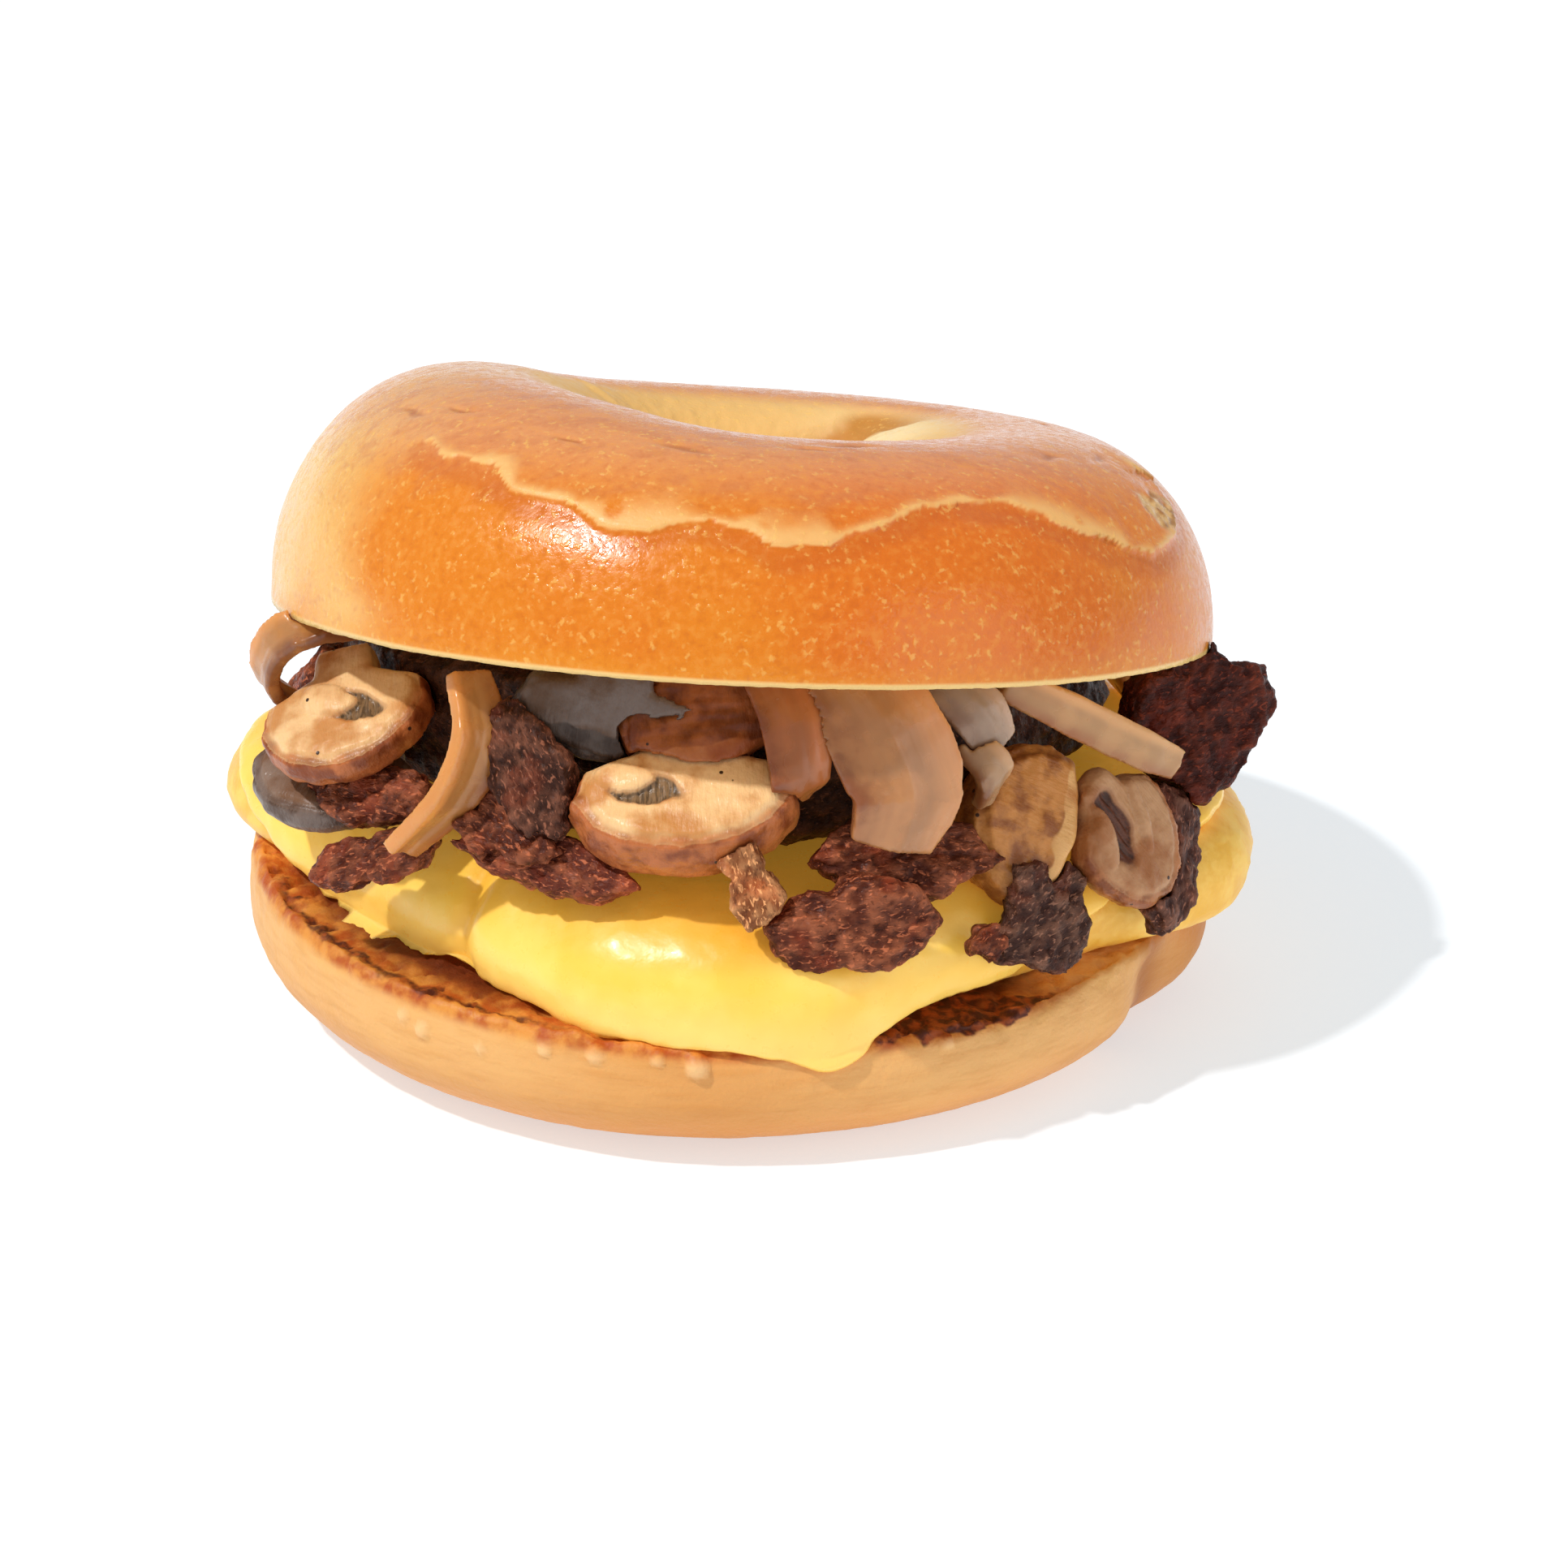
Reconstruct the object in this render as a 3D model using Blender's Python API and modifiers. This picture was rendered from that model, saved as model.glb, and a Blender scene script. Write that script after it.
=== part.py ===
"""Bagel sandwich: a toasted bagel cut in two, with egg, melted cheese, shaved steak,
mushrooms and onions between the halves.

The origin is on the floor under the middle of the sandwich, +Z is up, and -Y is the front,
where the filling lifts the upper half. Sizes below are in millimetres and become metres
as each mesh is made.
"""
import math

import bpy
import bmesh
from mathutils import Matrix, Vector, noise

MM = 0.001
GAP = 0.3
CARVE_GAP = 0.45
EGG_CARVE_GAP = 0.4
BLOCK_RAISE = 0.3
SLIVER = 0.06

# The egg and steak reach further right than left, so the halves stand left of the middle
AXIS_SHIFT_X = -2.0
AXIS_SHIFT_Y = 0.0

# Lower half of the bagel: a ring cut level, a little thicker on its left
HEEL_RADIUS = 58.95
HEEL_CUT_HEIGHT = 16.1
HEEL_CUT_SLOPE = -0.0283
HEEL_HOLE_RADIUS = 8.8
HEEL_LIP_SHARE = 0.966
HEEL_WIDE_SHARE = 0.62
HEEL_FOOT_OUTER = 43.6
HEEL_FOOT_INNER = 24.8
HEEL_HOLE_LIP = 9.5
CREASE_AZIMUTH = -27.0
CREASE_DEPTH = 2.6
CREASE_WIDTH = 6.0
CREASE_LOBE = 0.9
CREASE_LOBE_TURN = 18.0
CREASE_LOBE_WIDTH = 12.0
HEEL_UNEVEN = 0.5
HEEL_UNEVEN_SIZE = 24.0
HEEL_UNEVEN_LEVEL = 4.0
HEEL_CUT_ZONE = 3.0

# Upper half of the bagel: a domed ring whose hole has closed to a puckered dimple
CROWN_CENTRE = Vector((2.24, -2.0, 46.5))
CROWN_TILT_X = -14.3
CROWN_TILT_Y = 2.9
CROWN_RADIUS = 56.8
CROWN_CREST_RADIUS = 33.0
CROWN_HOLE_RADIUS = 9.6
CROWN_ROUNDNESS = 2.2
CROWN_HEIGHT = ((-90, 25.2), (-20, 24.6), (60, 24.2), (120, 25.0), (175, 28.8), (225, 28.0))
CROWN_SWELL = 0.5
CROWN_SWELL_SIZE = 20.0

# Plump left side of the upper half: how far out, its azimuth and width, its height and reach
PLUMP_OUT = 0.4
PLUMP_AZIMUTH = 175.0
PLUMP_WIDTH = 50.0
PLUMP_HEIGHT = 9.0

# Folds of the dimple's wall: azimuth, width in degrees, and how far they push it outwards.
# The crease turns by its sweep between the crest and the bottom.
CREASE_AT_BOTTOM = 78.0
CREASE_SWEEP = 42.0
DIMPLE_CREASE = (18.0, 5.5)
DIMPLE_FOLDS = ((115.0, 34.0, 3.0), (20.0, 36.0, -3.0), (152.0, 14.0, -1.6))

# Egg patty, its outline by azimuth in degrees and radius
EGG_OUTLINE = ((-15, 65.6), (-36, 55.5), (-60, 53.2), (-80, 56.8), (-104, 54.2), (-124, 48.6),
               (-144, 47.4), (-159, 50.5), (-188, 62.8), (-212, 54.5), (-240, 50.5), (-264, 56.5),
               (-282, 60.0), (-305, 54.0), (-335, 55.0))
EGG_FLOOR_GAP = 0.3
EGG_TOP = 27.4
EGG_WIDE_HEIGHT = 20.4
EGG_SHOULDER = 10.0
EGG_UNDERCUT = 3.0
PATTY_RING_POWER = 0.4

# Melted cheese over the egg: how far its edge runs past the egg's shoulder, by azimuth
CHEESE_THICKNESS = 2.6
CHEESE_GAP = 0.9
CHEESE_EDGE_SHARE = 0.3
CHEESE_FULL_SHARE = 0.6
CHEESE_EDGE_POWER = 10
CHEESE_RIPPLE = 0.35
CHEESE_RIPPLE_SIZE = 12.0
CHEESE_REACH = ((-15, 5.0), (-35, 10.5), (-52, 15.5), (-67, 16.6), (-78, 19.6), (-90, 17.8),
                (-105, 17.5), (-125, 16.0), (-145, 17.0), (-160, 15.5), (-180, 8.0), (-200, 3.0),
                (-230, 11.0), (-262, 15.0), (-285, 5.0), (-320, 12.0))

# Heap of shaved steak that fills the wedge between the cheese and the upper half
HEAP_OUTLINE = ((-90, 44.5), (-50, 43.5), (-15, 46.0), (30, 47.0), (90, 45.0), (150, 47.0),
                (200, 45.5), (230, 43.0))
HEAP_LUMP = 2.4
HEAP_LUMP_SIZE = 8.0
HEAP_FLOOR = 31.2
HEAP_SIDE_POWER = 0.35
HEAP_LEVEL_POWER = 0.45

# Relief of the small pieces: a share of a torn outline, and millimetres across a face
STEAK_RAGGED = 0.55
STEAK_TEARS = 1.6
STEAK_FINE_TEARS = 2.7
STEAK_FINE_SHARE = 0.4
STEAK_ROUGH = 1.6
MUSHROOM_ROUGH = 0.5
ROUGH_SIZE = 5.0

# Form of a slab: how square its edge and its faces are, and the length its bend is told for
SLAB_EDGE_POWER = 0.3
SLAB_FACE_POWER = 0.5
BEND_LENGTH = 10.0

# Depth of a mushroom cap's underside, as a share of its dome's height
CAP_UNDER_SHARE = 0.4

# Width of an onion strip at its ends, as a share, and where along it the taper starts and ends
RIBBON_END_SHARE = 0.45
RIBBON_TAPER_START = 0.12
RIBBON_TAPER_SPAN = 0.8

# Facets round each large piece, and round each small one
BREAD_SEGMENTS = 50
PATTY_SEGMENTS = 44
PATTY_RINGS = 12
HEAP_RINGS = 8
SLAB_SEGMENTS = 16
MUSHROOM_SEGMENTS = 18
SLAB_RINGS = 6
BREAD_STEPS = 3
CROWN_STEPS = 16
RIBBON_ALONG = 10
RIBBON_ACROSS = 2

COLOURS = {
    "crust": ((0.68, 0.29, 0.07, 1.0), 0.42),
    "heel_crust": ((0.66, 0.40, 0.17, 1.0), 0.55),
    "egg": ((0.84, 0.60, 0.20, 1.0), 0.50),
    "cheese": ((0.93, 0.65, 0.14, 1.0), 0.30),
    "steak": ((0.09, 0.032, 0.024, 1.0), 0.55),
    "mushroom": ((0.52, 0.31, 0.17, 1.0), 0.40),
    "onion": ((0.46, 0.29, 0.15, 1.0), 0.35),
}


def remove_old_objects():
    for old in list(bpy.data.objects):
        bpy.data.objects.remove(old, do_unlink=True)


def make_collection(name):
    collection = bpy.data.collections.new(name)
    bpy.context.scene.collection.children.link(collection)
    return collection


def make_material(name, look):
    """Principled material for one node, in its family's colour and gloss."""
    colour, roughness = COLOURS[look]
    material = bpy.data.materials.new(name)
    material.use_nodes = True
    shader = material.node_tree.nodes["Principled BSDF"]
    shader.inputs["Base Color"].default_value = colour
    shader.inputs["Roughness"].default_value = roughness
    shader.inputs["Metallic"].default_value = 0.0
    return material


def polar(azimuth, radius, height):
    angle = math.radians(azimuth)
    return Vector((radius * math.cos(angle), radius * math.sin(angle), height))


def azimuth_of(point):
    return math.degrees(math.atan2(point.y, point.x))


def bell(x, width):
    return math.exp(-(x / width) ** 2)


def angle_between(a, b):
    """Signed difference of two azimuths, in degrees from -180 to 180."""
    return (a - b + 180.0) % 360.0 - 180.0


def ring_value(controls, azimuth):
    """Smooth value at an azimuth, through (degrees, value) pairs that go once round."""
    points = sorted((a % 360.0, v) for a, v in controls)
    count = len(points)
    azimuth = azimuth % 360.0
    after = next((i for i, p in enumerate(points) if p[0] > azimuth), count)
    stops = []
    for i in range(after - 2, after + 2):
        turn, index = divmod(i, count)
        stops.append((points[index][0] + 360.0 * turn, points[index][1]))
    (a0, v0), (a1, v1), (a2, v2), (a3, v3) = stops
    span = a2 - a1
    slope_1 = (v2 - v0) / (a2 - a0) * span
    slope_2 = (v3 - v1) / (a3 - a1) * span
    t = (azimuth - a1) / span
    return ((2 * t ** 3 - 3 * t ** 2 + 1) * v1 + (t ** 3 - 2 * t ** 2 + t) * slope_1
            + (3 * t ** 2 - 2 * t ** 3) * v2 + (t ** 3 - t ** 2) * slope_2)


def superpower(value, power):
    return math.copysign(abs(value) ** power, value)


def add_object(name, mesh, collection, look):
    mesh.materials.clear()
    mesh.materials.append(make_material(name, look))
    piece = bpy.data.objects.new(name, mesh)
    collection.objects.link(piece)
    return piece


def shade(mesh, sharp_degrees=50.0):
    mesh.shade_smooth()
    mesh.set_sharp_from_angle(angle=math.radians(sharp_degrees))


def turned_mesh(name, section, segments):
    """Closed mesh of a closed section, (radius, height) in millimetres, turned about +Z."""
    profile = bpy.data.meshes.new(name + "_profile")
    count = len(section)
    edges = [(i, (i + 1) % count) for i in range(count)]
    profile.from_pydata([(r * MM, 0.0, z * MM) for r, z in section], edges, [])
    turning = bpy.data.objects.new(name + "_turning", profile)
    bpy.context.scene.collection.objects.link(turning)
    screw = turning.modifiers.new("Turn", "SCREW")
    screw.axis = "Z"
    screw.angle = math.tau
    screw.steps = segments
    screw.render_steps = segments
    screw.use_merge_vertices = True
    screw.merge_threshold = 0.00001
    graph = bpy.context.evaluated_depsgraph_get()
    mesh = bpy.data.meshes.new_from_object(turning.evaluated_get(graph))
    bpy.data.objects.remove(turning, do_unlink=True)
    return mesh


def reshape(mesh, move):
    """Move each vertex by a function of its place, in millimetres."""
    for vertex in mesh.vertices:
        vertex.co = move(vertex.co / MM) * MM


def reshaped_sphere(name, segments, rings, place):
    """Closed mesh of a sphere whose vertices go where place(azimuth, latitude) says."""
    bm = bmesh.new()
    bmesh.ops.create_uvsphere(bm, u_segments=segments, v_segments=rings, radius=1.0)
    for vertex in bm.verts:
        latitude = math.asin(max(-1.0, min(1.0, vertex.co.z)))
        vertex.co = place(azimuth_of(vertex.co), latitude) * MM
    mesh = bpy.data.meshes.new(name)
    bm.to_mesh(mesh)
    bm.free()
    return mesh


def bread_section(steps):
    """Section of the lower half: down the outside, in along the foot and up the hole."""
    wide = HEEL_WIDE_SHARE * HEEL_CUT_HEIGHT
    lip = HEEL_LIP_SHARE * HEEL_RADIUS
    section = []
    for i in range(steps + 1):
        angle = math.pi / 2 * (1 - i / steps)
        section.append((lip + (HEEL_RADIUS - lip) * math.cos(angle),
                        wide + (HEEL_CUT_HEIGHT - wide) * math.sin(angle)))
    for i in range(1, steps + 1):
        angle = math.pi / 2 * i / steps
        section.append((HEEL_FOOT_OUTER + (HEEL_RADIUS - HEEL_FOOT_OUTER) * math.cos(angle),
                        wide * (1 - math.sin(angle))))
    for i in range(steps + 1):
        angle = math.pi / 2 * (1 - i / steps)
        section.append((HEEL_FOOT_INNER - (HEEL_FOOT_INNER - HEEL_HOLE_RADIUS) * math.cos(angle),
                        wide * (1 - math.sin(angle))))
    section.append((HEEL_HOLE_LIP, HEEL_CUT_HEIGHT))
    return section


def heel_cut_height(point):
    return HEEL_CUT_HEIGHT + HEEL_CUT_SLOPE * point.x


def shape_heel(point):
    """Slope of the cut face, the uneven outside and the crease where the dough was joined."""
    azimuth = azimuth_of(point)
    radius = math.hypot(point.x, point.y)
    outside = max(0.0, min(1.0, (radius - HEEL_FOOT_OUTER) / (HEEL_RADIUS - HEEL_FOOT_OUTER)))
    level = Vector((point.x, point.y, HEEL_UNEVEN_LEVEL))
    uneven = HEEL_UNEVEN * noise.noise(level / HEEL_UNEVEN_SIZE)
    crease = CREASE_DEPTH * bell(angle_between(azimuth, CREASE_AZIMUTH), CREASE_WIDTH)
    beside = angle_between(azimuth, CREASE_AZIMUTH + CREASE_LOBE_TURN)
    lobe = CREASE_LOBE * bell(beside, CREASE_LOBE_WIDTH)
    below_cut = 1.0 - bell(HEEL_CUT_HEIGHT - point.z, HEEL_CUT_ZONE)
    radius += outside * (uneven + (lobe - crease) * below_cut)
    height = point.z * heel_cut_height(point) / HEEL_CUT_HEIGHT
    return polar(azimuth, radius, height)


def crown_section(steps):
    """Section of the upper half: up the hole, over the crest and down the outside."""
    section = []
    for i in range(steps + 1):
        angle = math.pi * (1 - i / steps)
        reach = CROWN_RADIUS - CROWN_CREST_RADIUS
        if math.cos(angle) < 0:
            reach = CROWN_CREST_RADIUS - CROWN_HOLE_RADIUS
        section.append((CROWN_CREST_RADIUS + reach * superpower(math.cos(angle), 2 / CROWN_ROUNDNESS),
                        superpower(math.sin(angle), 2 / CROWN_ROUNDNESS)))
    return section


def pucker(azimuth, inward):
    """How far the dimple's wall stands back, from 0 at the crest to 1 deep inside."""
    crease_width, crease_depth = DIMPLE_CREASE
    crease_at = CREASE_AT_BOTTOM - CREASE_SWEEP * (1.0 - inward)
    back = crease_depth * bell(angle_between(azimuth, crease_at), crease_width)
    for fold_at, width, push in DIMPLE_FOLDS:
        back += push * bell(angle_between(azimuth, fold_at), width)
    return inward * back


def shape_crown(point):
    """Uneven height and swell of the dome, and the pucker of its dimple."""
    azimuth = azimuth_of(point)
    radius = math.hypot(point.x, point.y)
    inward = max(0.0, (CROWN_CREST_RADIUS - radius) / (CROWN_CREST_RADIUS - CROWN_HOLE_RADIUS))
    height = point.z * ring_value(CROWN_HEIGHT, azimuth)
    radius += pucker(azimuth, inward)
    swell = CROWN_SWELL * noise.noise(Vector((point.x, point.y, height)) / CROWN_SWELL_SIZE)
    side = max(0.0, (radius - CROWN_CREST_RADIUS) / (CROWN_RADIUS - CROWN_CREST_RADIUS))
    plump = PLUMP_OUT * bell(angle_between(azimuth, PLUMP_AZIMUTH), PLUMP_WIDTH)
    radius += side * (swell + plump * bell(height - PLUMP_HEIGHT, PLUMP_HEIGHT))
    return polar(azimuth, radius, height)


def crown_rotation():
    tilt_x = Matrix.Rotation(math.radians(CROWN_TILT_X), 4, "X")
    tilt_y = Matrix.Rotation(math.radians(CROWN_TILT_Y), 4, "Y")
    return tilt_y @ tilt_x


def crown_cut_height(point):
    """Height of the upper half's cut face over a point."""
    normal = crown_rotation() @ Vector((0.0, 0.0, 1.0))
    offset = Vector((point.x, point.y, 0.0)) - CROWN_CENTRE
    return -(normal.x * offset.x + normal.y * offset.y) / normal.z + CROWN_CENTRE.z


def make_heel(collection):
    mesh = turned_mesh("heel", bread_section(BREAD_STEPS), BREAD_SEGMENTS)
    reshape(mesh, shape_heel)
    shade(mesh)
    return add_object("heel", mesh, collection, "heel_crust")


def make_crown(collection):
    mesh = turned_mesh("crown", crown_section(CROWN_STEPS), BREAD_SEGMENTS)
    reshape(mesh, shape_crown)
    shade(mesh)
    crown = add_object("crown", mesh, collection, "crust")
    crown.location = CROWN_CENTRE * MM
    crown.rotation_euler = crown_rotation().to_euler()
    return crown


def egg_side(azimuth, travel, lift):
    """Point on the egg's outside, travel past its shoulder, raised by lift off its skin."""
    radius = ring_value(EGG_OUTLINE, azimuth)
    drop = EGG_TOP - EGG_WIDE_HEIGHT
    quarter = math.pi / 2 * math.sqrt((EGG_SHOULDER ** 2 + drop ** 2) / 2)
    if travel <= 0:
        return polar(azimuth, radius - EGG_SHOULDER + travel, EGG_TOP + lift)
    if travel < quarter:
        angle = math.pi / 2 * travel / quarter
        out = Vector((math.sin(angle) / EGG_SHOULDER, math.cos(angle) / drop)).normalized()
        return polar(azimuth, radius - EGG_SHOULDER * (1 - math.sin(angle)) + lift * out.x,
                     EGG_WIDE_HEIGHT + drop * math.cos(angle) + lift * out.y)
    return polar(azimuth, radius + lift, EGG_WIDE_HEIGHT - (travel - quarter))


def place_egg(azimuth, latitude):
    """Egg patty: flat top, round shoulder and slightly undercut side."""
    radius = ring_value(EGG_OUTLINE, azimuth)
    share = (1 - abs(latitude) / (math.pi / 2)) ** PATTY_RING_POWER
    drop = EGG_TOP - EGG_WIDE_HEIGHT
    quarter = math.pi / 2 * math.sqrt((EGG_SHOULDER ** 2 + drop ** 2) / 2)
    if latitude >= 0:
        top_length = radius - EGG_SHOULDER + quarter
        return egg_side(azimuth, share * top_length - (radius - EGG_SHOULDER), 0.0)
    point = polar(azimuth, radius * share, 0.0)
    floor = heel_cut_height(point) + EGG_FLOOR_GAP
    rim = max(0.0, radius * share - (radius - EGG_UNDERCUT)) / EGG_UNDERCUT
    point.z = floor + (EGG_WIDE_HEIGHT - floor) * (1 - math.sqrt(1 - min(1.0, rim) ** 2))
    return point


def place_cheese(azimuth, latitude, raised=0.0):
    """Cheese sheet: its underside on the egg, its top a melted thickness above."""
    radius = ring_value(EGG_OUTLINE, azimuth)
    share = (1 - abs(latitude) / (math.pi / 2)) ** PATTY_RING_POWER
    length = radius - EGG_SHOULDER + ring_value(CHEESE_REACH, azimuth)
    travel = share * length - (radius - EGG_SHOULDER)
    lift = CHEESE_GAP
    middle = CHEESE_GAP + CHEESE_EDGE_SHARE * CHEESE_THICKNESS
    if latitude >= 0:
        edge = math.sqrt(max(0.0, 1 - share ** CHEESE_EDGE_POWER))
        below = polar(azimuth, share * length, 0.0)
        ripple = CHEESE_RIPPLE * noise.noise(below / CHEESE_RIPPLE_SIZE)
        lift = middle + (CHEESE_FULL_SHARE * CHEESE_THICKNESS + ripple) * edge + raised
    elif share > 0.99:
        lift = middle
    return egg_side(azimuth, travel, lift)


def place_cheese_block(azimuth, latitude):
    """Outside of the cheese, closed under its edge: the form that the filling lies on."""
    if latitude > 0:
        return place_cheese(azimuth, latitude, BLOCK_RAISE)
    edge = place_cheese(azimuth, 0.0, BLOCK_RAISE)
    share = (1 - abs(latitude) / (math.pi / 2)) ** PATTY_RING_POWER
    return Vector((edge.x * share, edge.y * share, edge.z))


def place_heap(azimuth, latitude):
    """Heap of steak: lumpy outside, flat against the cheese and under the upper half."""
    radius = ring_value(HEAP_OUTLINE, azimuth)
    share = math.cos(latitude) ** HEAP_SIDE_POWER
    point = polar(azimuth, radius * share, 0.0)
    roof = crown_cut_height(point) - GAP
    level = (superpower(math.sin(latitude), HEAP_LEVEL_POWER) + 1) / 2
    point.z = HEAP_FLOOR + (roof - HEAP_FLOOR) * level
    lump = HEAP_LUMP * noise.noise(point / HEAP_LUMP_SIZE)
    lump *= (1 - abs(2 * level - 1) ** 4) * share ** 6
    return polar(azimuth, math.hypot(point.x, point.y) + lump, point.z)


def facing_rotation(azimuth, elevation, spin):
    """Turns a piece drawn in XY, as seen from outside, to face an azimuth and elevation."""
    out = polar(azimuth, math.cos(math.radians(elevation)), math.sin(math.radians(elevation)))
    across = polar(azimuth + 90.0, 1.0, 0.0)
    up = out.cross(across)
    basis = Matrix((across, up, out)).transposed().to_4x4()
    return basis @ Matrix.Rotation(math.radians(spin), 4, "Z")


def place_piece(piece, at, facing, spin):
    piece.location = Vector(at) * MM
    piece.rotation_euler = facing_rotation(facing[0], facing[1], spin).to_euler()


def slab_place(outline, thickness, bend, rough, seed):
    """Flat-faced rounded slab with an outline by angle, curled by bend and roughened."""
    def place(azimuth, latitude):
        share = max(0.0, math.cos(latitude)) ** SLAB_EDGE_POWER
        point = polar(azimuth, outline(azimuth) * share, 0.0)
        point.z = thickness / 2 * superpower(math.sin(latitude), SLAB_FACE_POWER)
        curl = -bend * (point.x / BEND_LENGTH) ** 2
        bump = rough * noise.noise(Vector((point.x, point.y, seed * 7.3)) / ROUGH_SIZE)
        return point + Vector((0.0, 0.0, curl + bump))
    return place


def mushroom_outline(width, height, stem_width, stem_length):
    """Outline of a mushroom cut through cap and stem, the cap's dome towards +Y."""
    def outline(azimuth):
        angle = math.radians(azimuth)
        across, along = math.cos(angle), math.sin(angle)
        depth = height if along >= 0 else CAP_UNDER_SHARE * height
        cap = 1 / math.hypot(across / (width / 2), along / depth)
        if along >= 0:
            return cap
        stem = min(stem_length / max(1e-6, -along), stem_width / 2 / max(1e-6, abs(across)))
        return max(cap, stem)
    return outline


def ragged_outline(width, height, ragged, seed):
    """Torn edge of a steak shaving."""
    def outline(azimuth):
        angle = math.radians(azimuth)
        ellipse = 1 / math.hypot(math.cos(angle) / (width / 2), math.sin(angle) / (height / 2))
        place = Vector((math.cos(angle) * STEAK_TEARS, math.sin(angle) * STEAK_TEARS, seed * 3.7))
        fine = STEAK_FINE_SHARE * noise.noise(place * STEAK_FINE_TEARS)
        return ellipse * (1 + ragged * (noise.noise(place) + fine))
    return outline


def make_mushroom(collection, name, at, facing, spin, width, height, stem, thickness, bend, seed):
    """Sliced mushroom, cut through its cap and stem."""
    outline = mushroom_outline(width, height, stem[0], stem[1])
    mesh = reshaped_sphere(name, MUSHROOM_SEGMENTS, SLAB_RINGS,
                           slab_place(outline, thickness, bend, MUSHROOM_ROUGH, seed))
    shade(mesh)
    piece = add_object(name, mesh, collection, "mushroom")
    place_piece(piece, at, facing, spin)
    return piece


def make_steak(collection, name, at, facing, spin, width, height, thickness, bend, seed):
    """Shaving of steak, torn all round and bent over what it lies on."""
    outline = ragged_outline(width, height, STEAK_RAGGED, seed)
    mesh = reshaped_sphere(name, SLAB_SEGMENTS, SLAB_RINGS,
                           slab_place(outline, thickness, bend, STEAK_ROUGH, seed))
    shade(mesh)
    piece = add_object(name, mesh, collection, "steak")
    place_piece(piece, at, facing, spin)
    return piece


def path_point(points, t):
    """Smooth point at a share t along a path through points, each (x, y, z)."""
    count = len(points) - 1
    index = min(int(t * count), count - 1)
    u = t * count - index
    p1, p2 = Vector(points[index]), Vector(points[index + 1])
    p0 = Vector(points[index - 1]) if index > 0 else 2 * p1 - p2
    p3 = Vector(points[index + 2]) if index + 2 <= count else 2 * p2 - p1
    return 0.5 * ((2 * p1) + (p2 - p0) * u + (2 * p0 - 5 * p1 + 4 * p2 - p3) * u ** 2
                  + (3 * p1 - p0 - 3 * p2 + p3) * u ** 3)


def make_ribbon(collection, name, path, side, width, thickness, cup, look):
    """Strip of onion along a path: side is the way its width runs, cup bows it across."""
    start = Vector(path[0])
    mesh = bpy.data.meshes.new(name)
    bm = bmesh.new()
    rows = []
    for i in range(RIBBON_ALONG + 1):
        t = i / RIBBON_ALONG
        middle = path_point(path, t)
        direction = (path_point(path, min(1.0, t + 0.02)) - path_point(path, max(0.0, t - 0.02)))
        direction.normalize()
        wide = Vector(side) - direction * Vector(side).dot(direction)
        wide.normalize()
        out = direction.cross(wide)
        bulge = math.sin(math.pi * (RIBBON_TAPER_START + RIBBON_TAPER_SPAN * t)) ** 0.5
        taper = RIBBON_END_SHARE + (1 - RIBBON_END_SHARE) * bulge
        row = []
        for j in range(RIBBON_ACROSS + 1):
            s = 2 * j / RIBBON_ACROSS - 1
            place = middle + wide * (s * width / 2 * taper) + out * (cup * (1 - s * s))
            row.append(bm.verts.new((place - start) * MM))
        rows.append(row)
    for i in range(RIBBON_ALONG):
        for j in range(RIBBON_ACROSS):
            bm.faces.new((rows[i][j], rows[i + 1][j], rows[i + 1][j + 1], rows[i][j + 1]))
    bm.to_mesh(mesh)
    bm.free()
    shade(mesh)
    piece = add_object(name, mesh, collection, look)
    piece.location = start * MM
    solidify = piece.modifiers.new("Thickness", "SOLIDIFY")
    solidify.thickness = thickness * MM
    solidify.offset = 0.0
    solidify.use_even_offset = False
    return piece


def apply_modifiers(piece):
    graph = bpy.context.evaluated_depsgraph_get()
    mesh = bpy.data.meshes.new_from_object(piece.evaluated_get(graph))
    piece.modifiers.clear()
    piece.data = mesh


def grown_copy(piece, cutters, gap):
    """Copy of a piece with its skin moved out by a gap, to cut its neighbours with."""
    cutter = piece.copy()
    cutter.data = piece.data.copy()
    cutter.name = piece.name + "_cutter"
    bm = bmesh.new()
    bm.from_mesh(cutter.data)
    bm.normal_update()
    moved = [(vertex, vertex.co + vertex.normal * gap * MM) for vertex in bm.verts]
    for vertex, place in moved:
        vertex.co = place
    bm.to_mesh(cutter.data)
    bm.free()
    cutter.hide_render = True
    cutter.display_type = "WIRE"
    cutters.objects.link(cutter)
    return cutter


def world_box(piece):
    corners = [piece.matrix_world @ Vector(corner) for corner in piece.bound_box]
    low = Vector(min(c[i] for c in corners) for i in range(3))
    high = Vector(max(c[i] for c in corners) for i in range(3))
    return low, high


def boxes_meet(a, b):
    low_a, high_a = world_box(a)
    low_b, high_b = world_box(b)
    return all(low_a[i] <= high_b[i] and low_b[i] <= high_a[i] for i in range(3))


def keep_largest(mesh):
    """Drop the scraps that a cut leaves beside the main body."""
    bm = bmesh.new()
    bm.from_mesh(mesh)
    left = set(bm.verts)
    islands = []
    while left:
        seed = left.pop()
        island, queue = {seed}, [seed]
        while queue:
            for edge in queue.pop().link_edges:
                for vertex in edge.verts:
                    if vertex in left:
                        left.discard(vertex)
                        island.add(vertex)
                        queue.append(vertex)
        islands.append(island)
    islands.sort(key=len, reverse=True)
    scraps = [vertex for island in islands[1:] for vertex in island]
    bmesh.ops.delete(bm, geom=scraps, context="VERTS")
    bm.to_mesh(mesh)
    bm.free()


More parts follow.
